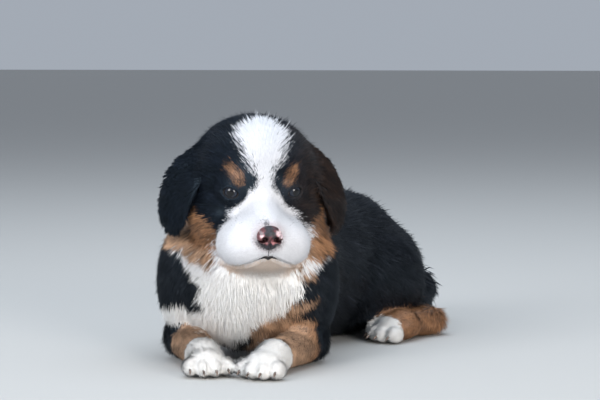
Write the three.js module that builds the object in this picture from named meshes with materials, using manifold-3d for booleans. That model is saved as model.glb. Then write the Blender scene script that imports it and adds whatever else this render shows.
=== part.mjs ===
// A Bernese mountain dog puppy about five weeks old, at life size, lying on its chest with its head up.
// Millimetres. +Z is up, the rump lies towards +Y, and +X is the puppy's left side.
// The trunk bends to the left: the head looks well round to the left of the hind quarters.
// Each sub-part is one closed solid. Where two touch, the later one is cut clear by a thin gap.

import * as THREE from "three";
import { mergeVertices } from "three/addons/utils/BufferGeometryUtils.js";
import Module from "manifold-3d";

const wasm = await Module();
wasm.setup();

// Driving sizes of the whole animal.
const GAP = 0.3;
const FLOOR = 0;
const SHOULDER_AT = [15, -27];
const SHOULDER_TURN = 17;
const PELVIS_AT = [14, 184];
const PELVIS_TURN = -20;
const HEAD_AT = [24.3, -32.4, 142];
const HEAD_TURN = 41;
const HEAD_TILT = 12;
const SIDES = { left: 1, right: -1 };

// Forms: a function that gives a point's distance to the form, less than zero inside, and the box it lies in.

const rad = THREE.MathUtils.degToRad;
const boxed = (field, low, high) => Object.assign(field, { low, high });

// Turn is about the upright, and tilt then lowers the form's front end.
function turned(turn, tilt = 0) {
  return new THREE.Matrix4().makeRotationFromEuler(new THREE.Euler(rad(tilt), 0, rad(turn), "ZXY"));
}

// An egg with three half-sizes.
function egg([cx, cy, cz], [rx, ry, rz], turn = 0) {
  const e = turned(turn).elements;
  const field = (x, y, z) => {
    const dx = x - cx;
    const dy = y - cy;
    const dz = z - cz;
    const u = e[0] * dx + e[1] * dy + e[2] * dz;
    const v = e[4] * dx + e[5] * dy + e[6] * dz;
    const w = e[8] * dx + e[9] * dy + e[10] * dz;
    const near = Math.hypot(u / rx, v / ry, w / rz);
    const slope = Math.hypot(u / rx ** 2, v / ry ** 2, w / rz ** 2);
    return slope < 1e-9 ? -Math.min(rx, ry, rz) : (near * (near - 1)) / slope;
  };
  const reach = [0, 1, 2].map((n) => Math.hypot(e[n] * rx, e[4 + n] * ry, e[8 + n] * rz));
  return boxed(
    field,
    [cx - reach[0], cy - reach[1], cz - reach[2]],
    [cx + reach[0], cy + reach[1], cz + reach[2]],
  );
}

// A limb of round section that tapers from one joint to the next.
function limb([ax, ay, az], [bx, by, bz], fromRadius, toRadius) {
  const vx = bx - ax;
  const vy = by - ay;
  const vz = bz - az;
  const length2 = vx * vx + vy * vy + vz * vz;
  const field = (x, y, z) => {
    const px = x - ax;
    const py = y - ay;
    const pz = z - az;
    const along = THREE.MathUtils.clamp((px * vx + py * vy + pz * vz) / length2, 0, 1);
    const away = Math.hypot(px - vx * along, py - vy * along, pz - vz * along);
    return away - THREE.MathUtils.lerp(fromRadius, toRadius, along);
  };
  const ends = [ax, ay, az].map((a, n) => [a, [bx, by, bz][n]]);
  return boxed(
    field,
    ends.map(([a, b]) => Math.min(a - fromRadius, b - toRadius)),
    ends.map(([a, b]) => Math.max(a + fromRadius, b + toRadius)),
  );
}

// Forms that flow into one another over a fillet of about k.
function flow(k, forms) {
  const field = (x, y, z) => {
    let all = forms[0](x, y, z);
    for (let i = 1; i < forms.length; i += 1) {
      const one = forms[i](x, y, z);
      const soft = Math.max(k - Math.abs(all - one), 0) / k;
      all = Math.min(all, one) - (soft * soft * k) / 4;
    }
    return all;
  };
  return boxed(
    field,
    [0, 1, 2].map((n) => Math.min(...forms.map((f) => f.low[n])) - k / 4),
    [0, 1, 2].map((n) => Math.max(...forms.map((f) => f.high[n])) + k / 4),
  );
}

// Grid lines from one value to another, whose spacing runs evenly from the first step to the last.
function lines(from, to, firstStep, lastStep = firstStep) {
  const count = Math.ceil((2 * (to - from)) / (firstStep + lastStep));
  const steps = Array.from({ length: count }, (_, i) =>
    THREE.MathUtils.lerp(firstStep, lastStep, count > 1 ? i / (count - 1) : 0),
  );
  const scale = (to - from) / steps.reduce((sum, s) => sum + s, 0);
  const at = [from];
  steps.forEach((s) => at.push(at.at(-1) + s * scale));
  return at;
}

// A field's slope at a point.
function slopeOf(field, x, y, z) {
  const h = 0.05;
  return new THREE.Vector3(
    field(x + h, y, z) - field(x - h, y, z),
    field(x, y + h, z) - field(x, y - h, z),
    field(x, y, z + h) - field(x, y, z - h),
  ).divideScalar(2 * h);
}

// The closed mesh where a field is zero, with one corner in each grid cell that the surface crosses.
// Steps is the grid's spacing, or three, for X, Y and Z. A pair is the first and the last step.
// Grow moves every corner out along the field's slope, for a copy that clears its neighbour.
function surface(field, steps, grow = 0) {
  const [xs, ys, zs] = [0, 1, 2].map((n) => {
    const [first, last = first] = [Array.isArray(steps) ? steps[n] : steps].flat();
    return lines(field.low[n] - 1.5 * first, field.high[n] + 2.5 * last, first, last);
  });
  const [nx, ny, nz] = [xs.length, ys.length, zs.length];
  const sample = (i, j, k) => (k * ny + j) * nx + i;
  const value = new Float64Array(nx * ny * nz);
  for (let k = 0; k < nz; k += 1)
    for (let j = 0; j < ny; j += 1)
      for (let i = 0; i < nx; i += 1) value[sample(i, j, k)] = field(xs[i], ys[j], zs[k]);

  const corner = new Map();
  const positions = [];
  const ends = [0, 1];
  for (let k = 0; k < nz - 1; k += 1)
    for (let j = 0; j < ny - 1; j += 1)
      for (let i = 0; i < nx - 1; i += 1) {
        const middle = new THREE.Vector3();
        let crossings = 0;
        const cross = (a, b) => {
          const va = value[sample(...a)];
          const vb = value[sample(...b)];
          if (va < 0 === vb < 0) return;
          const t = va / (va - vb);
          middle.x += THREE.MathUtils.lerp(xs[a[0]], xs[b[0]], t);
          middle.y += THREE.MathUtils.lerp(ys[a[1]], ys[b[1]], t);
          middle.z += THREE.MathUtils.lerp(zs[a[2]], zs[b[2]], t);
          crossings += 1;
        };
        for (const p of ends)
          for (const q of ends) {
            cross([i, j + p, k + q], [i + 1, j + p, k + q]);
            cross([i + p, j, k + q], [i + p, j + 1, k + q]);
            cross([i + p, j + q, k], [i + p, j + q, k + 1]);
          }
        if (!crossings) continue;
        middle.divideScalar(crossings);
        const reach = 0.35 * Math.min(xs[i + 1] - xs[i], ys[j + 1] - ys[j], zs[k + 1] - zs[k]);
        for (let pass = 0; pass < 2; pass += 1) {
          const slope = slopeOf(field, ...middle);
          const step = field(...middle) / Math.max(slope.lengthSq(), 0.05);
          middle.addScaledVector(slope, -THREE.MathUtils.clamp(step, -reach, reach));
        }
        if (grow) middle.addScaledVector(slopeOf(field, ...middle).normalize(), grow);
        corner.set(sample(i, j, k), positions.length / 3);
        positions.push(...middle);
      }

  const index = [];
  const point = (n) => new THREE.Vector3().fromArray(positions, 3 * n);
  const quad = (cells, flip) => {
    const [a, b, c, d] = cells.map(([i, j, k]) => corner.get(sample(i, j, k)));
    const across = point(a).distanceTo(point(c)) < point(b).distanceTo(point(d));
    const faces = across ? [[a, b, c], [a, c, d]] : [[a, b, d], [b, c, d]];
    faces.forEach(([p, q, r]) => index.push(...(flip ? [p, r, q] : [p, q, r])));
  };
  for (let k = 1; k < nz - 1; k += 1)
    for (let j = 1; j < ny - 1; j += 1)
      for (let i = 1; i < nx - 1; i += 1) {
        const inside = value[sample(i, j, k)] < 0;
        if (inside !== value[sample(i + 1, j, k)] < 0)
          quad([[i, j - 1, k - 1], [i, j, k - 1], [i, j, k], [i, j - 1, k]], !inside);
        if (inside !== value[sample(i, j + 1, k)] < 0)
          quad([[i - 1, j, k - 1], [i - 1, j, k], [i, j, k], [i, j, k - 1]], !inside);
        if (inside !== value[sample(i, j, k + 1)] < 0)
          quad([[i - 1, j - 1, k], [i, j - 1, k], [i, j, k], [i - 1, j, k]], !inside);
      }
  return new THREE.BufferGeometry()
    .setAttribute("position", new THREE.Float32BufferAttribute(positions, 3))
    .setIndex(index);
}

// Solids: joins and cuts of closed meshes.

function solidOf(geometry) {
  const bare = geometry.clone();
  bare.deleteAttribute("normal");
  bare.deleteAttribute("uv");
  const merged = mergeVertices(bare, 1e-4);
  return new wasm.Manifold(
    new wasm.Mesh({
      numProp: 3,
      vertProperties: new Float32Array(merged.attributes.position.array),
      triVerts: new Uint32Array(merged.index.array),
    }),
  );
}

// Where a cut leaves two corners on one spot, each is drawn a hair towards its own faces.
function geometryOf(solid) {
  const mesh = solid.getMesh();
  const corners = Array.from({ length: mesh.numVert }, (_, i) =>
    new THREE.Vector3().fromArray(mesh.vertProperties, i * mesh.numProp),
  );
  const faceMiddles = corners.map(() => []);
  for (let i = 0; i < mesh.triVerts.length; i += 3) {
    const face = [...mesh.triVerts.subarray(i, i + 3)];
    const middle = face.reduce((sum, n) => sum.add(corners[n]), new THREE.Vector3()).divideScalar(3);
    face.forEach((n) => faceMiddles[n].push(middle));
  }
  const spots = Map.groupBy(corners.keys(), (n) => corners[n].toArray().map((v) => v.toFixed(3)).join());
  for (const shared of spots.values()) {
    if (shared.length < 2) continue;
    for (const n of shared) {
      const away = faceMiddles[n].reduce((sum, m) => sum.add(m), new THREE.Vector3());
      away.divideScalar(faceMiddles[n].length).sub(corners[n]);
      corners[n].addScaledVector(away.normalize(), 0.02);
    }
  }
  const positions = new Float32Array(corners.flatMap((c) => c.toArray()));
  const geometry = new THREE.BufferGeometry()
    .setAttribute("position", new THREE.BufferAttribute(positions, 3))
    .setIndex(new THREE.BufferAttribute(mesh.triVerts, 1));
  geometry.computeVertexNormals();
  return geometry;
}

const joined = (solids) => solids.reduce((all, one) => all.add(one));
const cutBy = (solid, cutters) => cutters.reduce((all, one) => all.subtract(one), solid);
const moved = (solid, matrix) => solid.transform([...matrix.elements]);

// Only the largest closed surface is kept, without edges too short to print.
function largest(solid) {
  const bodies = solid.simplify(0.05).decompose();
  return bodies.reduce((best, one) => (one.volume() > best.volume() ? one : best));
}

// A form's solid, and the copy that its neighbours are cut with.
function made(field, steps) {
  return { solid: solidOf(surface(field, steps)), clear: solidOf(surface(field, steps, GAP)) };
}

const GROUND = { across: 900, deep: 60 };
const ground = solidOf(
  new THREE.BoxGeometry(GROUND.across, GROUND.across, GROUND.deep).translate(0, 0, FLOOR - GROUND.deep / 2),
);

// A frame in the level plane: out is to the left of its heading, and ahead is along it.
function levelFrame([x, y], turn) {
  const c = Math.cos(rad(turn));
  const s = Math.sin(rad(turn));
  return (out, ahead, up = 0) => [x + c * out + s * ahead, y + s * out - c * ahead, up];
}

const shoulder = levelFrame(SHOULDER_AT, SHOULDER_TURN);
const pelvis = levelFrame(PELVIS_AT, PELVIS_TURN);
const headMatrix = turned(HEAD_TURN, HEAD_TILT).setPosition(...HEAD_AT);

// Torso: chest, ribs, belly, loin and rump, along a back that bends to the left.
const torsoField = flow(26, [
  egg(shoulder(0, 14, 62), [50, 40, 52], SHOULDER_TURN),
  egg([3, 20, 68], [59, 62, 62], 8),
  egg([-4, 82, 64], [64, 66, 68]),
  egg([2, 142, 61], [60, 62, 66], -12),
  egg(pelvis(0, -8, 49), [45, 40, 46], PELVIS_TURN),
]);
const torso = made(torsoField, 17.5);

// Head, in its own frame: the nose points to -Y, and the middle of the skull is the origin.
const EYE = { at: [22.6, -36.5, 3.4], radius: 7.8, turn: 24 };
const NOSE = { at: [0, -76, -22], half: [9.4, 6.5, 7.6] };
const mirrored = ([x, y, z], side) => [x * side, y, z];
const bothSides = (make) => Object.values(SIDES).map(make);

const skull = flow(20, [
  egg([0, 6, 4], [51, 51, 49]),
  egg([0, -18, 20], [36, 26, 27]),
  ...bothSides((s) => egg([28 * s, -10, -22], [25, 32, 26])),
]);
const upperJaw = flow(13, [
  skull,
  egg([0, -50, -31], [28, 27, 22]),
  ...bothSides((s) => egg([17 * s, -51, -36], [19.5, 21, 17])),
  limb([0, -38, -8], [0, -68, -17], 12.5, 8.5),
]);
const chin = egg([0, -46, -46], [20, 22, 13]);
const brows = bothSides((s) => egg([20 * s, -33, 14], [11, 9, 8]));
const headField = flow(9, [upperJaw, chin, ...brows]);

// Eyes: a ball in a socket, under two lids that are a thin shell over it.
const LID = { thick: 1.6, half: [6.3, 4.1], tilt: 8 };
const ballSegments = [14, 10];
const eyeBall = (s, grow) =>
  solidOf(
    new THREE.SphereGeometry(EYE.radius + grow, ...ballSegments).translate(...mirrored(EYE.at, s)),
  );

// The opening between the lids: an almond that widens outwards from the middle of the eye.
function lidOpening(s) {
  const almond = new THREE.Shape();
  const [w, h] = LID.half;
  almond.moveTo(-w, 0);
  almond.quadraticCurveTo(0, 2 * h, w, 0);
  almond.quadraticCurveTo(0, -1.7 * h, -w, 0);
  const depth = 2 * EYE.radius;
  return solidOf(
    new THREE.ExtrudeGeometry(almond, { depth, bevelEnabled: false, curveSegments: 5 })
      .rotateX(Math.PI / 2)
      .rotateY(rad(-LID.tilt * s))
      .rotateZ(rad(EYE.turn * s))
      .translate(...mirrored(EYE.at, s)),
  );
}

// Nose leather: a rounded pad with a nostril on each side and a groove down the middle.
const noseField = flow(5, [
  egg(NOSE.at, NOSE.half),
  egg([0, NOSE.at[1] - 1, NOSE.at[2] + 2.5], [7.6, 6, 5.5]),
]);
const nose = made(noseField, 3.7);
const nostrils = bothSides((s) =>
  joined([
    solidOf(
      new THREE.SphereGeometry(1, 10, 8).scale(2.1, 5, 1.9).rotateZ(rad(18 * s))
        .translate(4.3 * s, -82.5, -22.4),
    ),
    solidOf(
      new THREE.SphereGeometry(1, 8, 6).scale(2.9, 4, 0.9).rotateY(rad(24 * s))
        .translate(6.9 * s, -80.5, -24.2),
    ),
  ]),
);

// A groove of triangular section along a line that is first drawn onto the field's surface.
function groove(field, points, width, depth) {
  const line = new THREE.CatmullRomCurve3(points.map((p) => new THREE.Vector3(...p)));
  const stations = line.getSpacedPoints(4 * (points.length - 1));
  const on = stations.map((p) => {
    for (let pass = 0; pass < 4; pass += 1) {
      const slope = slopeOf(field, ...p);
      p.addScaledVector(slope, -field(...p) / slope.lengthSq());
    }
    return { p, out: slopeOf(field, ...p).normalize() };
  });
  const positions = [];
  on.forEach(({ p, out }, n) => {
    const along = on[Math.min(n + 1, on.length - 1)].p.clone().sub(on[Math.max(n - 1, 0)].p);
    const side = along.cross(out).normalize();
    const swell = 0.35 + 0.65 * Math.sin((Math.PI * n) / (on.length - 1)) ** 0.5;
    const lip = p.clone().addScaledVector(out, depth);
    positions.push(...p.clone().addScaledVector(out, -depth * swell));
    positions.push(...lip.clone().addScaledVector(side, width * swell));
    positions.push(...lip.clone().addScaledVector(side, -width * swell));
  });
  const index = [0, 1, 2];
  for (let n = 0; n < on.length - 1; n += 1)
    for (let m = 0; m < 3; m += 1) {
      const [a, b] = [3 * n + m, 3 * n + ((m + 1) % 3)];
      index.push(a, a + 3, b, b, a + 3, b + 3);
    }
  const last = 3 * (on.length - 1);
  index.push(last, last + 2, last + 1);
  const tube = new THREE.BufferGeometry()
    .setAttribute("position", new THREE.Float32BufferAttribute(positions, 3))
    .setIndex(index);
  return solidOf(tube);
}

// The mouth runs from one corner under both upper lips to the other, and the lip is split.
const halfMouth = [[32, -24, -43], [33, -40, -48], [26, -57, -50], [13, -71, -44.5], [5, -75, -40]];
const lipsMeet = [0, -76, -38];
const mouthLine = [
  ...halfMouth.map((p) => mirrored(p, -1)),
  lipsMeet,
  ...[...halfMouth].reverse(),
];
const mouth = groove(headField, mouthLine, 2.2, 2.4);
const lipSplit = groove(headField, [[0, -79, -29], [0, -78, -33], lipsMeet], 1.3, 1.3);

const lids = bothSides((s) => eyeBall(s, LID.thick));
const bareHead = made(headField, [7.6, [5.4, 12.5], 7]);
const head = {
  solid: cutBy(joined([bareHead.solid, ...lids]), [
    ...bothSides((s) => eyeBall(s, GAP)),
    ...bothSides(lidOpening),
    nose.clear,
    mouth,
    lipSplit,
  ]),
  clear: bareHead.clear,
};

// Ears: a soft flap that hangs from the side of the skull, cupped on its inner face.
// Its front edge lies along the cheek, and its back edge stands away from the neck.
const EAR = { root: [42, 4, 28], drop: 66, width: 44, thick: 6.5, turn: 34 };
function earAt(s, [a, b, c], grow = 0) {
  const [backwards, outwards] = [Math.cos(rad(EAR.turn)), Math.sin(rad(EAR.turn))];
  const down = (1 - b) / 2;
  const taper = Math.sin(Math.PI * (0.3 + 0.45 * down)) ** 0.7;
  const across = a * (EAR.width / 2 + grow) * taper;
  const bulge = 33 * Math.sin(Math.PI * (0.03 + 0.6 * down)) - 5;
  const cup = -5 * a * a * Math.sin(Math.PI * down);
  const out = bulge + cup + c * (EAR.thick / 2 + grow);
  const drop = -(EAR.drop + grow) * down + (across * across) / 90;
  const x = EAR.root[0] + across * outwards + out * backwards;
  const y = EAR.root[1] + across * backwards - out * outwards;
  return new THREE.Vector3(x * s, y, EAR.root[2] + drop);
}
function earFlap(s, grow) {
  const ball = new THREE.SphereGeometry(1, 14, 11);
  const p = ball.attributes.position;
  for (let i = 0; i < p.count; i += 1) {
    p.setXYZ(i, ...earAt(s, [p.getX(i), p.getY(i), p.getZ(i)], grow));
  }
  if (s < 0) {
    const index = ball.index.array;
    for (let i = 0; i < index.length; i += 3) {
      [index[i + 1], index[i + 2]] = [index[i + 2], index[i + 1]];
    }
  }
  return solidOf(ball);
}

// Neck and throat, between the head and the chest.
const neckField = flow(16, [
  limb([8, 8, 92], [20, -14, 122], 54, 50),
  egg([24, -44, 88], [40, 30, 30], SHOULDER_TURN),
]);
const neck = made(neckField, 14.5);

// Fore legs: shoulder and upper arm, elbow on the ground, and the forearm laid forwards.
const FORE = {
  left: { elbow: [66, -20, 17.5], wrist: [74, -80, 13.5], paw: [76, -103], turn: 8 },
  right: { elbow: [-29, -50, 17.5], wrist: [14, -96, 13.5], paw: [33, -115], turn: 40 },
};
function foreLeg(side, s) {
  const { elbow, wrist } = FORE[side];
  const upper = egg(shoulder(47 * s, 0, 62), [27, 38, 50], SHOULDER_TURN);
  const field = flow(10, [upper, limb(elbow, wrist, 19, 14.5)]);
  return { field, ...made(field, 11.5) };
}

// Hind legs: the thigh against the flank, and the shank folded under it along the ground.
function hindLeg(s) {
  const thigh = egg(pelvis(50 * s, 30, 44), [25, 44, 42], PELVIS_TURN);
  const shank = limb(pelvis(68 * s, -10, 13.5), pelvis(76 * s, 32, 12), 15, 13);
  const field = flow(10, [thigh, shank]);
  return { field, ...made(field, 13) };
}

// A paw: four toes in an arc in front of the pad, each with its claw.
const PAW = { toe: [8, 10.5, 8.5], spread: 8.4 };
const CLAW = { length: 6.5, root: 2, droop: 18, ahead: 6.6, up: 7.2 };
function pawAndClaws(at, turn) {
  const place = levelFrame(at, turn);
  const toes = [-1.5, -0.5, 0.5, 1.5].map((n) => ({
    at: place(n * PAW.spread, 10 - 2.6 * n * n, PAW.toe[2] - 0.6),
    turn: turn + 7 * n,
  }));
  const back = flow(6, [
    egg(place(0, -3, 12), [15, 16, 11], turn),
    egg(place(0, -15, 14), [13, 13, 12], turn),
  ]);
  const pads = toes.map((t) => egg(t.at, PAW.toe, t.turn));
  const claws = toes.map((t) => ({ solid: claw(t, 0), clear: claw(t, GAP) }));
  return { paw: made(flow(2.5, [back, ...pads]), 7), claws };
}

// A claw: a cone that leaves the toe forwards and points a little down.
function claw(toe, grow) {
  const profile = [[0, -CLAW.root], [1.5 + grow, -CLAW.root], [1.2 + grow, 3.4], [0, CLAW.length + grow]];
  const shape = new THREE.LatheGeometry(profile.map(([r, y]) => new THREE.Vector2(r, y)), 6);
  shape.rotateX(rad(-90 - CLAW.droop)).rotateZ(rad(toe.turn));
  return solidOf(shape.translate(...levelFrame(toe.at, toe.turn)(0, CLAW.ahead, CLAW.up)));
}

// Tail: laid on the ground, curled round the right of the rump.
const tailPath = [
  [22, 218, 54, 15],
  [30, 242, 32, 14],
  [22, 255, 15, 13],
  [-6, 258, 11, 12],
  [-36, 246, 10, 10],
  [-58, 222, 8, 6.5],
];
const tailField = flow(6, tailPath.slice(1).map((to, n) => {
  const from = tailPath[n];
  return limb(from.slice(0, 3), to.slice(0, 3), from[3], to[3]);
}));
const tail = made(tailField, 9.5);

// Locks: flat, tapered blades of hair that run along a surface with their roots sunk in it.
const LOCK = { sink: 3.4, rise: 2.3, thick: 3.2, stations: 4 };
const random = (n) => Math.abs(Math.sin(n * 12.9898 + 4.1) * 43758.5453) % 1;

// A blade through stations that each have a place, a side direction and an outward direction.
function blade(stations, width, thick, grow) {
  const last = stations.length - 1;
  const positions = stations.slice(0, -1).flatMap(({ p, side, out }, n) => {
    const t = n / last;
    const w = (width / 2) * (0.72 + 0.28 * Math.sin(Math.PI * Math.min(1, 1.6 * t))) * (1 - t ** 2.6) + grow;
    const h = (thick / 2) * (1 - 0.65 * t) + grow;
    return [[w, 0], [0, h], [-w, 0], [0, -h]].flatMap(([u, v]) => [
      ...p.clone().addScaledVector(side, u).addScaledVector(out, v),
    ]);
  });
  const ahead = stations[last].p.clone().sub(stations[last - 1].p).normalize();
  positions.push(...stations[last].p.clone().addScaledVector(ahead, grow));
  const index = [0, 1, 2, 0, 2, 3];
  for (let n = 0; n < last - 1; n += 1)
    for (let m = 0; m < 4; m += 1) {
      const [a, b] = [4 * n + m, 4 * n + ((m + 1) % 4)];
      index.push(a, a + 4, b, b, a + 4, b + 4);
    }
  const end = 4 * (last - 1);
  for (let m = 0; m < 4; m += 1) index.push(end + m, end + 4, end + ((m + 1) % 4));
  const shape = new THREE.BufferGeometry()
    .setAttribute("position", new THREE.Float32BufferAttribute(positions, 3))
    .setIndex(index);
  return solidOf(shape);
}

// The stations of a lock that starts near a point and follows the field's surface along its lie.
function laidAlong(field, from, lie, length, lift) {
  const p = new THREE.Vector3(...from);
  const onto = (height) => {
    for (let pass = 0; pass < 6; pass += 1) {
      const slope = slopeOf(field, ...p);
      p.addScaledVector(slope, (height - field(...p)) / Math.max(slope.lengthSq(), 0.2));
    }
    return slopeOf(field, ...p).normalize();
  };
  const ahead = new THREE.Vector3(...lie).normalize();
  return Array.from({ length: LOCK.stations + 1 }, (_, n) => {
    const t = n / LOCK.stations;
    if (n) p.addScaledVector(ahead, length / LOCK.stations);
    const settled = -LOCK.sink * (1 - t) ** 3 + LOCK.rise * Math.sin((Math.PI * t) / 2) + lift * t * t;
    const out = onto(settled);
    ahead.addScaledVector(out, -ahead.dot(out)).normalize();
    const side = ahead.clone().cross(out).normalize();
    return { p: p.clone(), side, out: side.clone().cross(ahead).normalize() };
  });
}

// Many locks as one pair of solids: themselves, and the copy that keeps others clear.
function lockGroup(list) {
  const all = (grow) => joined(list.map(({ stations, width }) => blade(stations, width, LOCK.thick, grow)));
  return { solid: all(0), clear: all(GAP) };
}

// Rows of locks. Each row gives the points that its locks start from, and every lock varies a little.
function rowsOfLocks(field, rows, lieAt, { length, width, lift = 1.5 }, seed) {
  return rows.flat().map((from, n) => {
    const r = (k) => random(seed + 7 * n + k) - 0.5;
    const lie = lieAt(...from).map((v, k) => v + 0.28 * r(k));
    return {
      stations: laidAlong(field, from, lie, length * (1 + 0.35 * r(4)), lift * (1 + r(5))),
      width: width * (1 + 0.3 * r(6)),
    };
  });
}

const spread = (from, to, count) =>
  Array.from({ length: count }, (_, n) => THREE.MathUtils.lerp(from, to, count > 1 ? n / (count - 1) : 0.5));

// The white bib: rows of locks down the front of the chest, parted a little outwards.
const trunkField = flow(14, [torsoField, neckField]);
const bibRows = [88, 72, 57, 42, 28].map((up, n) =>
  spread(-33 + 6 * (n % 2), 33 - 6 * (n % 2), 6 - (n % 2)).map((out) =>
    shoulder(out, 62 - 0.2 * Math.abs(out), up),
  ),
);
const downTheBib = (x) => [(x - SHOULDER_AT[0]) / 110, 0, -1];
const bib = rowsOfLocks(trunkField, bibRows, downTheBib, { length: 29, width: 13, lift: 2.6 }, 11);

// The ruff: longer hair round the sides and the back of the neck, which lies down and back.
const ruffRows = [124, 112].map((up, n) =>
  spread(-128, 128, 13 - n).map((around) => {
    const [c, d] = [Math.cos(rad(around)), Math.sin(rad(around))];
    return [14 + 66 * d, -4 + 66 * c, up + (c > 0 ? 24 : 10) * c];
  }),
);
const ruffLie = (x, y) => [(x - 14) / 120, 0.7 + y / 300, -0.75];
const ruff = rowsOfLocks(neckField, ruffRows, ruffLie, { length: 27, width: 15, lift: 3.4 }, 301);

// The trousers behind each thigh, the feathers behind each elbow, and the brush of the tail.
function trousers(s, field) {
  const rows = [62, 46, 30].map((up, n) =>
    spread(58, 78, 2).map((out) => pelvis((out - 4 * n) * s, -22 + 6 * n, up)),
  );
  const backwards = () => [0.25 * s, 1, -0.55];
  return rowsOfLocks(field, rows, backwards, { length: 26, width: 12, lift: 2.6 }, 601 + s);
}
function elbowFeathers(side, s, field) {
  const [x, y] = FORE[side].elbow;
  const rows = [[38, 28, 18].map((up, n) => [x + 16 * s, y + 6 + 5 * n, up])];
  return rowsOfLocks(field, rows, () => [0.2 * s, 1, -0.5], { length: 21, width: 10, lift: 2.4 }, 701 + s);
}
function tailBrush(from, to, count, seed) {
  const rows = spread(from, to, count).map((at, n) => {
    const segment = Math.min(Math.floor(at), tailPath.length - 2);
    const [a, b] = [tailPath[segment], tailPath[segment + 1]];
    const mid = a.map((v, k) => THREE.MathUtils.lerp(v, b[k], at - segment));
    const outwards = n % 2 ? 1 : -0.8;
    return [mid[0] + 5 * outwards, mid[1] + 14 * outwards, mid[2] + 6];
  });
  const towardsTip = (x, y) => {
    const near = tailPath.findIndex(([, , z]) => z < 12);
    return y > 236 && x > tailPath[near][0] ? [-0.8, 0.5, -0.5] : [-1, -0.5, -0.2];
  };
  return rowsOfLocks(tailField, [rows], towardsTip, { length: 24, width: 10, lift: 2.2 }, seed);
}

// The fringe of each ear: short locks that hang on past its lower rim.
const FRINGE = { count: 6, from: 212, to: 328, length: 5, width: 12 };
function earFringe(s) {
  return spread(FRINGE.from, FRINGE.to, FRINGE.count).map((turn, n) => {
    const [c, d] = [Math.cos(rad(turn)), Math.sin(rad(turn))];
    const inner = earAt(s, [0.66 * c, 0.66 * d, 0]);
    const rim = earAt(s, [c, d, 0]);
    const ahead = rim.clone().sub(inner).normalize().add(new THREE.Vector3(0, 0, -0.5)).normalize();
    const across = new THREE.Vector3(Math.sin(rad(EAR.turn)) * s, Math.cos(rad(EAR.turn)), 0);
    const out = new THREE.Vector3().crossVectors(ahead, across).normalize();
    const side = new THREE.Vector3().crossVectors(ahead, out).normalize();
    const reach = rim.distanceTo(inner) + FRINGE.length * (1 + 0.4 * (random(901 + n) - 0.5));
    const stations = Array.from({ length: LOCK.stations + 1 }, (_, k) => ({
      p: inner.clone().addScaledVector(ahead, (reach * k) / LOCK.stations),
      side,
      out: side.clone().cross(ahead).normalize(),
    }));
    return { stations, width: FRINGE.width };
  });
}

const coats = {
  black: new THREE.MeshStandardMaterial({ color: 0x17171b, roughness: 0.85, metalness: 0 }),
  white: new THREE.MeshStandardMaterial({ color: 0xe9e6e2, roughness: 0.85, metalness: 0 }),
  tan: new THREE.MeshStandardMaterial({ color: 0x9a5f36, roughness: 0.85, metalness: 0 }),
  eye: new THREE.MeshStandardMaterial({ color: 0x0e0f14, roughness: 0.1, metalness: 0 }),
  nose: new THREE.MeshStandardMaterial({ color: 0x3a2a2e, roughness: 0.4, metalness: 0 }),
  claw: new THREE.MeshStandardMaterial({ color: 0xc9b8a8, roughness: 0.4, metalness: 0 }),
};

// Assembly: each solid is cut clear of the floor and of all that were placed before it.
const root = new THREE.Group();
const body = new THREE.Group();
root.add(body);
const pieces = [];
function add(name, { solid, clear }, material, locks = []) {
  const blocks = pieces.map((one) => one.clear).filter(Boolean);
  pieces.push({ name, solid: largest(cutBy(solid, [ground, ...blocks])), clear, material, locks });
}

// A limb that bends is parted by a thin cut across it, at a point and a heading.
function addParted(whole, at, heading, nearPart, farPart) {
  const [nearName, nearMaterial, nearLocks] = nearPart;
  const [farName, farMaterial, farLocks] = farPart;
  const normal = new THREE.Vector3(...heading).normalize();
  const offset = normal.dot(new THREE.Vector3(...at));
  const far = whole.solid.trimByPlane(normal.toArray(), offset + GAP / 2);
  const near = whole.solid.trimByPlane(normal.negate().toArray(), -offset + GAP / 2);
  add(nearName, { solid: near }, nearMaterial, nearLocks);
  add(farName, { solid: far, clear: whole.clear }, farMaterial, farLocks);
}

function addPaw(name, side, at, turn) {
  const { paw, claws } = pawAndClaws(at, turn);
  claws.forEach((one, n) => add(`claw_${name}_${side}_${n + 1}`, one, coats.claw));
  add(`${name}paw_${side}`, paw, coats.white);
}

const inHead = ({ solid, clear }) => ({
  solid: moved(solid, headMatrix),
  clear: moved(clear, headMatrix),
});
const eachSide = (make) => Object.entries(SIDES).forEach(([side, s]) => make(side, s));

add("nose", inHead({ ...nose, solid: cutBy(nose.solid, nostrils) }), coats.nose);
eachSide((side, s) => {
  add(`eye_${side}`, inHead({ solid: eyeBall(s, 0), clear: eyeBall(s, GAP) }), coats.eye);
});
add("head", inHead(head), coats.black);
eachSide((side, s) => {
  const fringe = earFringe(s).map((lock) => ({
    ...lock,
    stations: lock.stations.map(({ p, side: across, out }) => ({
      p: p.clone().applyMatrix4(headMatrix),
      side: across.clone().transformDirection(headMatrix),
      out: out.clone().transformDirection(headMatrix),
    })),
  }));
  add(`ear_${side}`, inHead({ solid: earFlap(s, 0), clear: earFlap(s, GAP) }), coats.black, fringe);
});
add("torso", torso, coats.black, bib);
add("neck", neck, coats.white, ruff);
eachSide((side, s) => {
  addPaw("fore", side, FORE[side].paw, FORE[side].turn);
  addPaw("hind", side, pelvis(78 * s, 48), PELVIS_TURN - 4 * s);
});
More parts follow.
